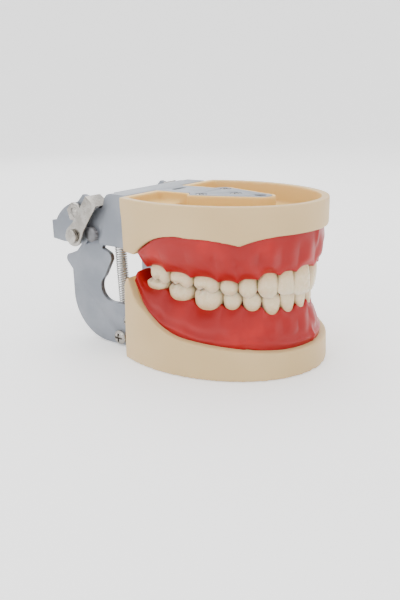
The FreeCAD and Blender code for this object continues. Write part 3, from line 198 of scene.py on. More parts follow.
tone = clouds.mix(CREAM_DEEP, CREAM_PALE)
x, y = (shade.node("ShaderNodeSeparateXYZ", {}, {0: shade.node("ShaderNodeTexCoord", output="Object")}, axis)
        for axis in ("X", "Y"))
# Painted light: inside the oval the resin takes the warm bounce colour, in place of light reflected between
# the walls.
past_painted_bounce = (x * x * (1 / PAINTED_BOUNCE_OVAL[0] ** 2) + y * y * (1 / PAINTED_BOUNCE_OVAL[1] ** 2)).between(0.96, 1.04)
feed(Base_Color=past_painted_bounce.mix(CREAM_PAINTED_BOUNCE, tone), Roughness=shade.noise(220.0, 4.0) * 0.16 + 0.36,
     Normal=shade.noise(900.0, 4.0).bump(0.00006, 0.5))


def dress(piece, body, material, nodes=()):
    """Common last steps of a piece: its material, its body and the nodes that it stands for."""
    piece.data.materials.clear()
    piece.data.materials.append(material)
    if nodes:
        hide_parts(*nodes)
    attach(piece, body)
    return piece


def copy_of(node, name):
    """A merged copy of a node's mesh, alone selected and active."""
    deselect()
    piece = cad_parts[node].copy()
    piece.data = piece.data.copy()
    for key in list(piece.keys()):
        del piece[key]
    piece.parent = None
    piece.name = name
    bpy.context.scene.collection.objects.link(piece)
    piece.select_set(True)
    bpy.context.view_layer.objects.active = piece
    bpy.ops.object.mode_set(mode="EDIT")
    bpy.ops.mesh.select_all(action="SELECT")
    bpy.ops.mesh.remove_doubles(threshold=0.01 * MM)
    bpy.ops.object.mode_set(mode="OBJECT")
    return piece


def apply(kind, **settings):
    """Add a modifier to the active object and apply it."""
    modifier = bpy.context.object.modifiers.new(kind.lower(), kind)
    for name, value in settings.items():
        setattr(modifier, name, value)
    bpy.ops.object.modifier_apply(modifier=modifier.name)


def cast_copy(node, name, grain, passes):
    """A node's shape with the soft edges of a casting: rebuilt in small cells, then smoothed."""
    piece = copy_of(node, name)
    apply("REMESH", mode="VOXEL", voxel_size=grain, use_smooth_shade=True)
    apply("SMOOTH", factor=0.5, iterations=passes)
    bpy.ops.object.shade_smooth()
    return piece


def smooth(value):
    """Ease from 0 to 1, clamped at both ends."""
    value = min(1.0, max(0.0, value))
    return value * value * (3 - 2 * value)


def bell(offset, width):
    """A hump of height 1 that fades over so much width on either side."""
    return math.exp(-(offset / width) ** 2)


for jaw in ("upper", "lower"):
    base = cast_copy(jaw + "_base", jaw + "_base_shell", CAST_GRAIN, CAST_PASSES)
    if jaw == "lower":                          # its rear crest is a thin wall behind the gum
        for vertex in base.data.vertices:
            x, y, z = vertex.co / MM
            lean = smooth((z - CREST_FOOT) / CREST_TALL) * smooth((y - CREST_FRONT[0]) / CREST_FRONT[1])
            back = y + CREST_BACK * lean * smooth((CREST_END[0] - y) / CREST_END[1])
            wall = math.sqrt((1 - (back / BASE_OVAL[1]) ** 2) / (1 - (y / BASE_OVAL[1]) ** 2))
            vertex.co = Vector((x * wall, back, z)) * MM
    dress(base, jaw + "_jaw", cream, [jaw + "_base"])

# ---------------------------------------------------------------- gums
# Each gum is one casting of red resin that follows the tooth arch and dips under the base's lip.
# Its margin is scalloped round the necks, with root bulges, folds and a bead along the border.
# All values below are in mm.  Per tooth, mid-line outwards: kind, width, depth, neck and biting level.
TEETH = {
    "upper": (("central_incisor", 8.5, 6.8, 39.6, 28.2), ("lateral_incisor", 6.6, 6.0, 38.4, 29.0),
              ("canine", 7.7, 7.8, 38.0, 27.4), ("first_premolar", 7.1, 8.8, 35.8, 27.9),
              ("second_premolar", 6.9, 8.8, 35.0, 28.4), ("first_molar", 10.4, 10.6, 35.9, 29.2),
              ("second_molar", 9.8, 10.4, 36.6, 30.3), ("third_molar", 8.8, 9.6, 38.2, 30.8)),
    "lower": (("central_incisor", 5.3, 5.8, 23.0, 30.4), ("lateral_incisor", 5.9, 6.0, 22.2, 30.4),
              ("canine", 6.9, 7.2, 21.6, 30.0), ("first_premolar", 7.1, 7.4, 22.9, 29.9),
              ("second_premolar", 7.2, 7.8, 23.1, 30.0), ("first_molar", 11.2, 9.6, 22.3, 30.6),
              ("second_molar", 10.6, 9.4, 24.7, 31.4), ("third_molar", 10.0, 9.0, 27.6, 32.0))}
TIPWARD = {"upper": -1, "lower": 1}
ARCH = {"upper": (28.3, 53.0, 11.4), "lower": (25.8, 50.5, 11.4)}      # half-width, length, centre
ARCH_STEPS, REAR_STEP = 900, 0.05               # samples round the oval, and along the straight rear


def arch_table(jaw, rear):
    """Fine samples of the cheek line from the mid-line back: (run, point, outwards, ellipse angle)."""
    half_width, length, centre = ARCH[jaw]
    samples, run = [], 0.0
    last = Vector((0.0, centre - length))
    for step in range(ARCH_STEPS + 1):
        angle = math.pi / 2 * step / ARCH_STEPS
        here = Vector((half_width * math.sin(angle), centre - length * math.cos(angle)))
        outward = Vector((length * math.sin(angle), -half_width * math.cos(angle))).normalized()
        run += (here - last).length
        samples.append((run, here, outward, angle))
        last = here
    back = centre
    while back < rear:
        back += REAR_STEP
        run += REAR_STEP
        samples.append((run, Vector((half_width, back)), Vector((1.0, 0.0)), math.pi / 2))
    return samples


def place_of(samples, run):
    """Point, outward way and angle at a run along the arch; negative runs are on the patient's right."""
    low, high = 0, len(samples) - 1
    while high - low > 1:
        middle = (low + high) // 2
        low, high = (middle, high) if samples[middle][0] <= abs(run) else (low, middle)
    side = 1 if run >= 0 else -1
    _, here, outward, angle = samples[high]
    return Vector((here.x * side, here.y)), Vector((outward.x * side, outward.y)), angle * side


def run_of(samples, point):
    """How far along the arch a point on the left side stands."""
    return min(samples, key=lambda sample: (sample[1] - point).length)[0]


def curve_through(points, where):
    """Height at y = where on straight lines between (y, height) points."""
    points = sorted(points)
    if where <= points[0][0]:
        return points[0][1]
    for (y0, z0), (y1, z1) in zip(points, points[1:]):
        if where <= y1:
            return z0 + (z1 - z0) * (where - y0) / (y1 - y0)
    return points[-1][1]


def ray_to_oval(point, way, half_width, length):
    """How far from the point to an oval round the origin, going a given way."""
    a = (way.x / half_width) ** 2 + (way.y / length) ** 2
    b = 2 * (point.x * way.x / half_width ** 2 + point.y * way.y / length ** 2)
    c = (point.x / half_width) ** 2 + (point.y / length) ** 2 - 1
    return (-b + math.sqrt(max(b * b - 4 * a * c, 0.0))) / (2 * a)


BORDERS = {     # (y, height) of the line where gum and base meet, back to front
    "upper": ((14.6, 41.5), (9.0, 44.8), (4.4, 47.3), (-2.2, 49.2), (-10.3, 50.5), (-17.2, 50.5),
              (-23.6, 49.5), (-26.8, 48.2), (-30.6, 49.8), (-36.6, 51.2), (-44.0, 51.8)),
    "lower": ((20.6, 31.4), (18.6, 31.0), (16.6, 28.6), (13.6, 24.8), (7.4, 19.8), (1.6, 16.8),
              (-9.3, 14.0), (-14.6, 13.0), (-21.6, 12.2), (-26.3, 12.5), (-28.9, 12.8), (-33.2, 11.8),
              (-38.1, 10.8), (-44.0, 10.4))}
GUM_INSET = {"upper": 1.5, "lower": 1.9}        # how far the gum stands inside the base's wall
REAR_INSET = 1.6                                # and how much further at the lower rear ends
GUM_REAR = {"upper": 14.9, "lower": 20.2}       # how far back the gum goes
PAPILLA = {"upper": 1.3, "lower": 1.8}          # how far the gum reaches up between two teeth
SCALLOP, PAPILLA_DIP = 2.6, 0.35                # power of the margin's arc, hollow between two teeth
ROOTS = {                                       # how far each root bulges, mid-line outwards
    "upper": (0.8, 0.5, 1.3, 0.6, 0.5, 0.5, 0.4, 0.2), "lower": (0.5, 0.5, 0.8, 0.4, 0.3, 0.3, 0.2, 0.1)}
REAR_CREST = {"upper": 41.2, "lower": 33.2}     # level of the gum behind the last tooth
REAR_RISE, REAR_THIN = 0.62, 0.35               # share of the rear it takes to rise; thickness it loses
END_ROUND, END_CLOSE = 2.2, 0.0004              # round of the rear ends; square of the last ring's size
FOLDS = ((0.0, 1.0, 0.8), (25.5, 1.8, 0.3))     # run, width and height of the mid-line and side frenums
BEAD, DITCH = (0.88, 0.07, 0.55), (0.70, 0.12, 0.35)    # lower border: share across, width, height
HOLLOW, HOLLOW_HALF = (0.45, 0.17, 0.7), 1.7    # above the upper premolars: share across, width, depth
LUMP, LUMP_RATE, LUMP_ACROSS, LUMP_SEED = 0.28, 0.16, 2.2, 7.0  # slow lumps: height, then their noise
COLUMNS, FLANK_ROWS, CREST_ROWS, TONGUE_ROWS = 361, 22, 7, 9
FLANK_OUT, FLANK_PAST = 0.45, 1.14              # flank at the margin; how far it runs on under the lip
FLANK_POWER = {"upper": 1.9, "lower": 1.35}     # how quickly the flank swells out to the base
CREST_OUT, CREST_OVER, CREST_ROUND = 0.15, 0.9, 0.6     # crest past the tooth's two sides, and its arch
TONGUE_HALF = {"upper": ARCH["upper"][0] - 14.0, "lower": 13.8}   # tongue side: half-width of its foot,
TONGUE_REACH = {"upper": 37.5, "lower": 36.3}                     # its reach forward of the arch's centre
TONGUE_LEVEL = {"upper": 41.0, "lower": 9.8}                      # and its level
TONGUE_START, TONGUE_POWER = 1.2, 1.4           # tongue flank: start past the tooth, spacing of its rows
REAR_SPREAD, HIDDEN_DROP = 0.16, 1.2            # how it parts at the lower rear; depth of the underside
FRENUM_START, FRENUM_EASE = 0.35, 0.4           # a frenum starts so far across the flank,
FRENUM_SHARE, LIP_SHARE = 0.9, 0.3              # and keeps so much of its height above and under the lip


def tooth_runs(jaw, samples):
    """(run, half width, neck level, root bulge, depth) of one side's teeth, mid-line outwards."""
    found = []
    for (kind, width, depth, neck, _), root in zip(TEETH[jaw], ROOTS[jaw]):
        low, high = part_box("%s_left_%s" % (jaw, kind))
        centre = (low + high) / (2 * MM)
        found.append((run_of(samples, centre.xy), width / 2, neck, root, depth))
    return found


def margin_and_bulge(jaw, teeth, run, end_run):
    """Level of the scalloped margin, root bulge and tooth depth at a run along the arch."""
    tipward, run = TIPWARD[jaw], abs(run)
    edges = [0.0] + [(a[0] + a[1] + b[0] - b[1]) / 2 for a, b in zip(teeth, teeth[1:])]
    edges.append(teeth[-1][0] + teeth[-1][1])
    levels = [teeth[0][2]] + [(a[2] + b[2]) / 2 for a, b in zip(teeth, teeth[1:])] + [teeth[-1][2]]
    levels = [level + tipward * PAPILLA[jaw] for level in levels]
    if run >= edges[-1]:
        share = smooth((run - edges[-1]) / (REAR_RISE * (end_run - edges[-1])))
        level = levels[-1] + (REAR_CREST[jaw] - levels[-1]) * share
        return level, 0.0, teeth[-1][4] * (1 - REAR_THIN * share)
    for i, (centre, _, neck, root, depth) in enumerate(teeth):
        if run <= edges[i + 1]:
            edge, between = (edges[i], levels[i]) if run < centre else (edges[i + 1], levels[i + 1])
            share = (run - centre) / (edge - centre)
            bulge = root * (0.5 + 0.5 * math.cos(math.pi * share)) - PAPILLA_DIP * share ** 4
            return neck + (between - neck) * share ** SCALLOP, bulge, depth


gum_red, shade, feed = finish_material("gum_red", Subsurface_Weight=0.18, Subsurface_Scale=0.004,
                                       Specular_IOR_Level=0.28, Coat_Roughness=0.25)
RED_DEEP, RED, RED_PALE = (0.270, 0.0025, 0.0025), (0.330, 0.0035, 0.0035), (0.430, 0.007, 0.006)
blotch = shade.noise(110.0, 3.0).between(0.42, 0.66)
deep = shade.noise(45.0, 2.0).between(0.35, 0.75)
feed(Base_Color=deep.mix(RED_DEEP, blotch.mix(RED, RED_PALE)),
     Roughness=shade.noise(300.0, 4.0) * 0.15 + 0.30, Coat_Weight=shade.noise(60.0) * 0.15,
     Normal=shade.noise(420.0, 5.0, 0.6).bump(0.00012, 0.5))


def relief(jaw, teeth, place, run, across):
    """What the folds, the lower bead, the upper hollows and slow lumps add to the cheek flank."""
    folds = sum(tall * bell(abs(run) - centre, width) for centre, width, tall in FOLDS)
    height = folds * smooth((across - FRENUM_START) / FRENUM_EASE)
    height *= FRENUM_SHARE if across < 1.0 else LIP_SHARE
    if jaw == "lower":
        height += BEAD[2] * bell(across - BEAD[0], BEAD[1]) - DITCH[2] * bell(across - DITCH[0], DITCH[1])
    else:
        for near, far in zip(teeth[2:5], teeth[3:6]):
            beside = abs(run) - (near[0] + far[0]) / 2
            height -= HOLLOW[2] * bell(beside, HOLLOW_HALF) * bell(across - HOLLOW[0], HOLLOW[1])
    lump = noise.noise(Vector((place.x * LUMP_RATE, place.y * LUMP_RATE,
                               across * LUMP_ACROSS + LUMP_SEED * TIPWARD[jaw])))
    return height + LUMP * lump * smooth(across / 0.3) * smooth((1.0 - across) / 0.2)


def gum_ring(jaw, samples, teeth, run, end_run):
    """One cut through the gum: cheek flank, crest, tongue flank and the hidden underside."""
    tipward = TIPWARD[jaw]
    place, outward, angle = place_of(samples, run)
    level, bulge, depth = margin_and_bulge(jaw, teeth, run, end_run)
    inset = GUM_INSET[jaw] + (REAR_INSET * smooth((place.y - 8.0) / 8.0) if jaw == "lower" else 0.0)
    base_reach = ray_to_oval(place, outward, BASE_OVAL[0] - inset, BASE_OVAL[1] - inset)
    border = curve_through(BORDERS[jaw], (place + outward * base_reach).y)
    straight = abs(angle) >= math.pi / 2
    tongue = Vector((TONGUE_HALF[jaw] * math.sin(angle),
                     place.y if straight else ARCH[jaw][2] - TONGUE_REACH[jaw] * math.cos(angle)))
    if jaw == "lower":                          # the rear ends stay inside the base's walls
        tongue.x *= 1 + REAR_SPREAD * smooth((place.y - 9.0) / 7.0)
    inward = (tongue - place).normalized()
    ring = []
    for row in range(FLANK_ROWS):
        across = FLANK_PAST * (1 - row / (FLANK_ROWS - 1))
        spread = 1 - (1 - min(across, 1.0)) ** FLANK_POWER[jaw]
        out = FLANK_OUT + (base_reach - FLANK_OUT) * spread + relief(jaw, teeth, place, run, across)
        out += bulge * smooth((across + 0.02) / 0.22) * smooth((0.92 - across) / 0.45)
        spot = place + outward * out
        ring.append(Vector((spot.x, spot.y, level + (border - level) * across)))
    for row in range(CREST_ROWS):
        share = row / (CREST_ROWS - 1)
        spot = place + inward * ((depth + CREST_OVER) * share - CREST_OUT)
        raised = CREST_ROUND * math.sin(math.pi * (0.18 + 0.64 * share))
        ring.append(Vector((spot.x, spot.y, level + tipward * raised)))
    start = place + inward * (depth + TONGUE_START)
    for row in range(TONGUE_ROWS):
        share = row / (TONGUE_ROWS - 1)
        spot = start.lerp(tongue, share ** TONGUE_POWER)
        ring.append(Vector((spot.x, spot.y, level + (TONGUE_LEVEL[jaw] - level) * smooth(share))))
    hidden, drop = place.lerp(tongue, 0.5), HIDDEN_DROP * tipward
    ring.append(Vector((hidden.x, hidden.y, TONGUE_LEVEL[jaw] - drop)))
    ring.append(Vector((place.x, place.y, (TONGUE_LEVEL[jaw] if jaw == "lower" else border) - drop)))
    ease = (abs(run) - (end_run - END_ROUND)) / END_ROUND
    if ease > 0:
        middle = sum(ring, Vector()) / len(ring)
        shrink = math.sqrt(max(1 - ease * ease, END_CLOSE))
        ring = [middle + (spot - middle) * shrink for spot in ring]
    return ring


def gum(jaw):
    """The gum as a closed tube along the arch, ring after ring from the right rear to the left."""
    samples = arch_table(jaw, GUM_REAR[jaw])
    teeth, end_run = tooth_runs(jaw, samples), samples[-1][0]
    runs = [end_run * (2 * column / (COLUMNS - 1) - 1) for column in range(COLUMNS)]
    rings = [gum_ring(jaw, samples, teeth, run, end_run) for run in runs]
    deselect()
    rows = len(rings[0])
    bpy.ops.mesh.primitive_grid_add(x_subdivisions=rows, y_subdivisions=COLUMNS - 1, size=1)
    piece = bpy.context.object
    piece.name = jaw + "_gum_casting"
    for index, vertex in enumerate(piece.data.vertices):
        column, row = divmod(index, rows + 1)
        vertex.co = rings[column][row % rows] * MM
    bpy.ops.object.mode_set(mode="EDIT")
    bpy.ops.mesh.select_all(action="SELECT")
    bpy.ops.mesh.remove_doubles(threshold=0.002 * MM)
    bpy.ops.mesh.select_all(action="DESELECT")
    bpy.ops.mesh.select_non_manifold(extend=False, use_wire=False, use_multi_face=False,
                                     use_non_contiguous=False, use_verts=False)
    bpy.ops.mesh.edge_face_add()
    bpy.ops.mesh.select_all(action="SELECT")
    bpy.ops.mesh.normals_make_consistent(inside=False)
    bpy.ops.object.mode_set(mode="OBJECT")
    bpy.ops.object.shade_smooth()
    return piece


for jaw in ("lower", "upper"):
    dress(gum(jaw), jaw + "_jaw", gum_red, [jaw + "_gum"])

# ---------------------------------------------------------------- palate
# The vault behind the upper teeth, cast in one with the gum: a domed plate with the small bump
# behind the central incisors and the cross folds of the front palate.
VAULT_FRONT, VAULT_LONG, VAULT_HALF = -27.2, 41.6, 18.2         # its plan: front, length, half-width
VAULT_OVAL, VAULT_LEVEL, VAULT_RISE, VAULT_WALL = 40.0, 38.6, 5.9, 1.4  # oval, foot, rise, thickness
CROSS_FOLDS, FOLD_FIRST, FOLD_STEP, FOLD_SWEEP = 4, -18.5, 3.4, 2.2     # how many, where, how far swept
FOLD_TALL, FOLD_WIDE = 0.5, 0.75
BUMP_Y, BUMP_TALL, BUMP_WIDE, BUMP_LONG = -23.6, 0.9, 1.3, 1.5  # behind the central incisors
RIDGE_TALL, RIDGE_WIDE = 0.35, 0.7                              # along the mid-line
deselect()
bpy.ops.mesh.primitive_grid_add(x_subdivisions=60, y_subdivisions=72, size=2)
palate = bpy.context.object
palate.name = "upper_palate"
for vertex in palate.data.vertices:
    across, along = vertex.co.x, (vertex.co.y + 1) / 2
    y = VAULT_FRONT + VAULT_LONG * along
    reach = min(y, ARCH["upper"][2]) - ARCH["upper"][2]
    half = VAULT_HALF * math.sqrt(max(1 - (reach / VAULT_OVAL) ** 2, 0.01))
    dome = (1 - abs(across) ** 2.6) * (1 - math.exp(-(y - VAULT_FRONT + 0.4) / 5.5))
    lines = [FOLD_FIRST + FOLD_STEP * fold - FOLD_SWEEP * abs(across) for fold in range(CROSS_FOLDS)]
    folds = sum(FOLD_TALL * bell(y - line, FOLD_WIDE) for line in lines)
    folds *= smooth(abs(across) / 0.12) * smooth((0.72 - abs(across)) / 0.2)
    bump = BUMP_TALL * bell(y - BUMP_Y, BUMP_LONG) * bell(across * half, BUMP_WIDE)
    ridge = RIDGE_TALL * bell(across * half, RIDGE_WIDE) * smooth((y + 22) / 4)
    vertex.co = Vector((across * half, y, VAULT_LEVEL + VAULT_RISE * dome - folds - bump - ridge)) * MM
apply("SOLIDIFY", thickness=VAULT_WALL * MM, offset=-1.0)
bpy.ops.object.mode_set(mode="EDIT")
bpy.ops.mesh.select_all(action="SELECT")
bpy.ops.mesh.normals_make_consistent(inside=False)
bpy.ops.object.mode_set(mode="OBJECT")
bpy.ops.object.shade_smooth_by_angle(angle=math.radians(50))
dress(palate, "upper_jaw", gum_red)

# ---------------------------------------------------------------- teeth
# 32 cast resin teeth, each held by a screw in its peg.  A tooth is a cube, subdivided and shaped:
# its outline widens from the neck to the contact point and closes over cusps, a point or an edge.
ivory, shade, feed = finish_material("ivory_resin", Subsurface_Weight=0.22, Subsurface_Scale=0.002,
                                     Specular_IOR_Level=0.5, Coat_Roughness=0.12)
IVORY_NECK, IVORY_BODY, IVORY_TIP = (0.520, 0.330, 0.150), (0.640, 0.510, 0.315), (0.640, 0.550, 0.400)
# The second colour below is painted shade for the grooves between cusps.
IVORY_SPOT, IVORY_GROOVE_SHADE = (0.590, 0.460, 0.270), (0.400, 0.270, 0.150)
height = shade.node("ShaderNodeAttribute", {"attribute_name": "crown_height"}, output="Fac")
groove_shade = shade.node("ShaderNodeAttribute", {"attribute_name": "groove_shade"}, output="Fac")
body = height.between(-0.05, 0.5).mix(IVORY_NECK, IVORY_BODY)
tip = height.between(0.72, 1.05).mix(body, IVORY_TIP)
mottled = (shade.noise(260.0, 3.0).between(0.35, 0.75) * 0.35).mix(tip, IVORY_SPOT)
# Painted shade: the crown is darkened along its grooves near the tip.
feed(Base_Color=(groove_shade.between(0.25, 1.0) * 0.7).mix(mottled, IVORY_GROOVE_SHADE),
     Roughness=shade.noise(500.0, 3.0) * 0.14 + 0.20, Coat_Weight=height.between(-0.1, 0.4) * 0.35,
     Normal=shade.noise(1500.0, 3.0).bump(0.00003, 0.35))

COLLAR, CONTACT_GAP, TOOTH_CUTS = 2.0, 0.12, 13 # reach under the gum, width left free, cuts of the cube
ROW_POWER = 0.92                                # under 1, so rows lie closer towards the tip
CHEEKWARD = {"upper": 0.0, "lower": 0.7}        # how far outside the arch line the crowns stand
# Outline of each shape at levels of the crown, 0 the neck and 1 the tip:
# half width along the arch, half depth towards the cheek, half depth towards the tongue
OUTLINES = {
    "edge": ((-0.30, 0.62, 0.80, 0.78), (0.0, 0.74, 0.88, 0.84), (0.25, 0.87, 1.00, 0.80),
             (0.50, 0.96, 0.97, 0.42), (0.75, 1.00, 0.86, 0.00), (0.92, 0.99, 0.72, -0.22),
             (1.0, 0.93, 0.60, -0.34)),
    "point": ((-0.30, 0.66, 0.84, 0.80), (0.0, 0.76, 0.90, 0.86), (0.25, 0.91, 1.02, 0.84),
              (0.55, 1.00, 0.96, 0.50), (0.75, 0.99, 0.82, 0.18), (0.90, 0.86, 0.66, 0.00),
              (1.0, 0.62, 0.50, -0.10)),
    "premolar": ((-0.30, 0.68, 0.80, 0.80), (0.0, 0.78, 0.87, 0.85), (0.25, 0.93, 1.00, 0.96),
                 (0.55, 1.00, 0.97, 1.00), (0.75, 1.00, 0.90, 0.95), (0.90, 0.92, 0.80, 0.86),
                 (1.0, 0.76, 0.64, 0.70)),
    "molar": ((-0.30, 0.74, 0.84, 0.84), (0.0, 0.83, 0.90, 0.88), (0.25, 0.94, 1.00, 0.97),
              (0.52, 1.00, 0.98, 1.00), (0.75, 1.00, 0.92, 0.96), (0.90, 0.95, 0.84, 0.88),
              (1.0, 0.85, 0.70, 0.76))}
SQUARENESS = {"edge": 2.6, "point": 2.4, "premolar": 2.6, "molar": 3.2}
# Cusps as shares of width (distal +) and depth (cheek +), with their drop in mm
CUSPS = {
    "upper_molar": ((-0.22, 0.27, -0.3), (0.26, 0.25, 0.6), (-0.20, -0.24, 0.3), (0.26, -0.25, 1.0)),
    "lower_molar": ((-0.28, 0.24, 0.2), (0.04, 0.26, 0.3), (0.33, 0.18, 0.8), (-0.24, -0.26, 0.0),
                    (0.22, -0.26, 0.2)),
    "upper_premolar": ((-0.02, 0.26, 0.0), (-0.06, -0.25, 0.6)),
    "lower_premolar": ((-0.02, 0.18, 0.0), (0.04, -0.27, 1.4)),
    "upper_point": ((-0.06, 0.1, 0.0),), "lower_point": ((-0.06, 0.1, 0.0),)}
SLOPE = {"molar": 0.66, "premolar": 0.50, "point": 0.50}        # how steeply a cusp falls
FOSSA = {"molar": 2.1, "premolar": 3.2, "point": 3.2}           # the deepest drop between cusps
CUSP_BLUNT, CUSP_LIFT = 0.7, 0.83               # cusp tips are blunt, and lifted back to the tip level
GROOVE_DEEP, GROOVE_WIDE = 0.28, 0.30           # the groove where two cusps meet
EDGE_ROUND, EDGE_FALL = 0.35, 0.65              # an incisor's edge: rounding, fall of the distal corner
CREASE_DEEP, CREASE_WIDE = 0.5, 0.8             # the crease down a molar's cheek side
LOBE = 0.07                                     # the three faint lobes of a front tooth


def outline_at(shape, level):
    """The three outline shares at a level of the crown, in straight steps between the listed levels."""
    table = OUTLINES[shape]
    for low, high in zip(table, table[1:]):
        if level <= high[0]:
            share = max(0.0, (level - low[0]) / (high[0] - low[0]))
            return [a + (b - a) * share for a, b in zip(low[1:], high[1:])]
    return table[-1][1:]


def biting_surface(jaw, shape, width, depth, x, y):
    """Drop below the tip at a place on the crown, and how deep in a groove the place is."""
    if shape == "edge":
        side = x / (width / 2)
        return EDGE_ROUND * abs(side) ** 3 + EDGE_FALL * smooth((side - 0.35) / 0.65), 0.0
    drops = []
    for at, out, drop in CUSPS[jaw + "_" + shape]:
        away = math.hypot(x - width * at, y - depth * out)
        drops.append(drop + SLOPE[shape] * (math.sqrt(away ** 2 + CUSP_BLUNT) - CUSP_LIFT))
    drops.sort()
    groove = bell(drops[1] - drops[0], GROOVE_WIDE) if len(drops) > 1 else 0.0
    return min(drops[0], FOSSA[shape]) + GROOVE_DEEP * groove, groove


def tooth(jaw, side, kind, width, depth, neck, tip, run, samples):
    """One tooth at its place on the arch."""
    family = kind.split("_")[-1]
    shape = {"incisor": "edge", "canine": "point"}.get(family, family)
    tipward, tall = TIPWARD[jaw], abs(tip - neck)
    width -= CONTACT_GAP
    place, outward, _ = place_of(samples, run * side)
    distal = Vector((-outward.y, outward.x)) * side
    centre = place - outward * (depth / 2 - CHEEKWARD[jaw])
    deselect()
    bpy.ops.mesh.primitive_cube_add(size=2)
    piece = bpy.context.object
    piece.name = "%s_%s_%s_crown" % (jaw, "left" if side > 0 else "right", kind)
    bpy.ops.object.mode_set(mode="EDIT")
    bpy.ops.mesh.subdivide(number_cuts=TOOTH_CUTS)
    bpy.ops.object.mode_set(mode="OBJECT")
    heights, groove_shades, power = [], [], SQUARENESS[shape]
    for vertex in piece.data.vertices:
        x, y, z = vertex.co
        u, v = x * math.sqrt(1 - y * y / 2), y * math.sqrt(1 - x * x / 2)
        size = math.hypot(u, v)
        if size > 1e-6:
            square = (abs(u / size) ** power + abs(v / size) ** power) ** (-1 / power)
            u, v = u * square, v * square
        level = (((z + 1) / 2) ** ROW_POWER * (tall + COLLAR) - COLLAR) / tall
        along, out, inside = outline_at(shape, level)
        local_x = u * along * width / 2
        local_y = depth / 2 * (out * (1 + v) / 2 - inside * (1 - v) / 2)
        drop, groove = biting_surface(jaw, shape, width, depth, local_x, local_y)
        near_tip = smooth((level - 0.55) / 0.45)
        local_z = level * tall - drop * near_tip
        if shape == "molar":
            crease = CREASE_DEEP * bell(local_x, CREASE_WIDE) * smooth((level - 0.30) / 0.5)
            local_y -= crease * max(0.0, v) - 0.8 * crease * max(0.0, -v)
        elif shape in ("edge", "point"):
            lobes = LOBE * math.cos(3 * math.pi * u) * smooth((level - 0.2) / 0.5)
            local_y += lobes * max(0.0, v)
        spot = centre + distal * local_x + outward * local_y
        vertex.co = Vector((spot.x, spot.y, neck + tipward * local_z)) * MM
        heights.append(level)
        groove_shades.append(groove * near_tip)
    # The second attribute marks the grooves for the crown's painted shade.
    for name, values in (("crown_height", heights), ("groove_shade", groove_shades)):
        attribute = piece.data.attributes.new(name, "FLOAT", "POINT")
        attribute.data.foreach_set("value", values)
    apply("SUBSURF", levels=1, render_levels=1)
    bpy.ops.object.mode_set(mode="EDIT")
    bpy.ops.mesh.select_all(action="SELECT")
    bpy.ops.mesh.normals_make_consistent(inside=False)
    bpy.ops.object.mode_set(mode="OBJECT")
    bpy.ops.object.shade_smooth()
    return piece


for jaw in ("lower", "upper"):
    samples = arch_table(jaw, GUM_REAR[jaw])
    for (kind, width, depth, neck, tip), spot in zip(TEETH[jaw], tooth_runs(jaw, samples)):
        for side, word in ((-1, "right"), (1, "left")):
            piece = tooth(jaw, side, kind, width, depth, neck, tip, spot[0], samples)
            dress(piece, jaw + "_jaw", ivory, ["%s_%s_%s" % (jaw, word, kind)])

# ---------------------------------------------------------------- steel frames, arms and latches
# Stamped sheet: the upper frame's plate, bridge and flanges, the lower plate with its ears, the two
# crescent arms and the latch strips.  Satin plate on the sheets and bright nickel on the latches,
# with edges broken by the press.
STEEL_DARK, STEEL_PALE = (0.190, 0.205, 0.232), (0.245, 0.260, 0.290)
NICKEL_DARK, NICKEL_PALE = (0.270, 0.252, 0.228), (0.400, 0.380, 0.350)
ROLLING = (900.0, 60.0, 900.0)                  # the sheet's grain is drawn out front to back
FLAT, CORNER = math.radians(1.0), math.radians(38)      # below: one face; above: a sharp edge
plated, shade, feed = finish_material("plated_sheet", Metallic=0.85, Specular_IOR_Level=0.5)
place = shade.node("ShaderNodeTexCoord", output="Object")
rolled = shade.node("ShaderNodeMapping", {}, {"Vector": place, "Scale": ROLLING})
grain = shade.noise(1.0, 4.0, 0.6, where=rolled)
cloud = shade.noise(70.0, 3.0)
feed(Base_Color=cloud.between(0.3, 0.7).mix(STEEL_DARK, STEEL_PALE),
     Roughness=grain * 0.12 + cloud * 0.12 + 0.34, Normal=grain.bump(0.00002, 0.35))
nickel, shade, feed = finish_material("bright_nickel", Metallic=1.0, Specular_IOR_Level=0.5)
scuffs = shade.noise(240.0, 5.0, 0.6)
feed(Base_Color=scuffs.between(0.35, 0.7).mix(NICKEL_DARK, NICKEL_PALE),
     Roughness=scuffs * 0.20 + 0.16, Normal=scuffs.bump(0.00003, 0.25))


def pressed_copy(node, name, width):
    """A node's shape with its sharp edges broken by a small round."""
    piece = copy_of(node, name)
    bpy.ops.object.mode_set(mode="EDIT")
    bpy.ops.mesh.select_all(action="SELECT")
    bpy.ops.mesh.dissolve_limited(angle_limit=FLAT)
    bpy.ops.object.mode_set(mode="OBJECT")
    apply("BEVEL", width=width, segments=2, limit_method="ANGLE", angle_limit=CORNER)
    bpy.ops.object.shade_smooth_by_angle(angle=CORNER)
    return piece


for node, body, edge in (("upper_frame", "upper_jaw", 0.25), ("lower_frame", "lower_jaw", 0.2),
                         ("right_arm", "lower_jaw", 0.3), ("left_arm", "lower_jaw", 0.3)):
    dress(pressed_copy(node, node + "_sheet", edge * MM), body, plated, [node])
for latch in ("right_latch", "left_latch"):
    dress(pressed_copy(latch, latch + "_strip", 0.2 * MM), latch, nickel, [latch])

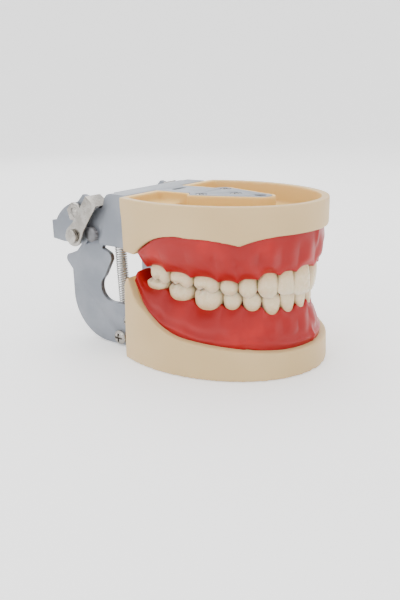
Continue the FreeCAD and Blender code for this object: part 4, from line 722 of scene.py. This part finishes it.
# ---------------------------------------------------------------- turned parts and screws
# Axle, cross rod with its nuts, latch bolts with their spacers, spring studs and all the screws.
# Turned steel under bright nickel plate; only the axle is bare and oiled.
OILED_DARK, OILED_PALE = (0.100, 0.100, 0.108), (0.180, 0.180, 0.188)
NUT_EDGE = 0.15 * MM                            # the broken edge of nuts, bolts and pan heads
dark_steel, shade, feed = finish_material("oiled_steel", Metallic=0.9)
film = shade.noise(300.0, 4.0)
feed(Base_Color=film.mix(OILED_DARK, OILED_PALE), Roughness=film * 0.25 + 0.28)
for node, body, finish in (("hinge_axle", "lower_jaw", dark_steel), ("cross_rod", "upper_jaw", nickel)):
    rod = copy_of(node, node + "_turned")
    bpy.ops.object.shade_smooth_by_angle(angle=CORNER)
    dress(rod, body, finish, [node])
for node, body in (("arm_screws", "lower_jaw"), ("cross_rod_nuts", "upper_jaw"),
                   ("latch_bolts", "upper_jaw"), ("latch_spacers", "upper_jaw")):
    dress(pressed_copy(node, node + "_turned", NUT_EDGE), body, nickel, [node])
for node in ("upper_tooth_screws", "lower_tooth_screws", "upper_plate_screws", "lower_plate_screws",
             "upper_spring_pins", "lower_spring_pins"):
    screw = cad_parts[node]
    screw.data.materials.clear()
    screw.data.materials.append(nickel)

# ---------------------------------------------------------------- closing springs
# Two closely wound tension springs of drawn wire, each with a hook round a stud of either frame.
# They are drawn out when the jaws open.
wire, shade, feed = finish_material("spring_wire", Metallic=1.0, Specular_IOR_Level=0.5)
drawn = shade.noise(700.0, 4.0)
WIRE_DARK, WIRE_PALE = (0.450, 0.440, 0.420), (0.600, 0.590, 0.570)
feed(Base_Color=drawn.mix(WIRE_DARK, WIRE_PALE), Roughness=drawn * 0.2 + 0.18)
WIRE, COIL, PITCH, HOOK = 0.55, 2.2, 0.95, 1.4  # wire across, mean radius, rise per turn, hook radius
HOOK_FROM, HOOK_STEP, HOOK_POINTS, HOOK_NECK = -55, 27, 12, 1.5     # degrees, and mm up to the coil
POINTS_A_TURN = 14


def spring(word):
    """One spring's wire, from the lower hook through the coil to the upper hook."""
    low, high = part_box(word + "_spring")
    x = (low.x + high.x) / (2 * MM)
    studs = [sum(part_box(jaw + "_spring_pins"), Vector()) / (2 * MM) for jaw in ("lower", "upper")]
    foot, top = (Vector((x, stud.y, stud.z)) for stud in studs)
    axis = (top - foot).normalized()
    sideways = Vector((1, 0, 0))
    forward = axis.cross(sideways)
    start, end = foot + axis * (HOOK + HOOK_NECK), top - axis * (HOOK + HOOK_NECK)
    hook = []                                   # round the lower stud; the upper hook is its mirror
    for step in range(HOOK_POINTS):
        angle = math.radians(HOOK_FROM + HOOK_STEP * step)
        hook.append(foot - forward * HOOK * math.sin(angle) + axis * HOOK * math.cos(angle))
    coil, steps = [], round((end - start).length / PITCH) * POINTS_A_TURN
    for step in range(steps + 1):
        angle = 2 * math.pi * step / POINTS_A_TURN
        around = forward * math.cos(angle) + sideways * math.sin(angle)
        coil.append(start.lerp(end, step / steps) + around * COIL)
    route = hook[::-1] + coil + [foot + top - point for point in hook]
    data = bpy.data.curves.new(word + "_spring_wire", "CURVE")
    data.dimensions, data.bevel_depth, data.bevel_resolution = "3D", WIRE / 2 * MM, 1
    data.use_fill_caps = True
    line = data.splines.new("NURBS")
    line.points.add(len(route) - 1)
    for point, spot in zip(line.points, route):
        point.co = (*(spot * MM), 1.0)
    line.order_u, line.use_endpoint_u, line.resolution_u = 3, True, 2
    piece = bpy.data.objects.new(word + "_spring_wire", data)
    bpy.context.scene.collection.objects.link(piece)
    deselect()
    piece.select_set(True)
    bpy.context.view_layer.objects.active = piece
    bpy.ops.object.convert(target="MESH")
    piece = bpy.context.object
    bpy.ops.object.shade_smooth()
    piece.data.materials.clear()
    piece.data.materials.append(wire)
    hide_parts(word + "_spring")
    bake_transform(piece)


for word in ("right", "left"):
    spring(word)
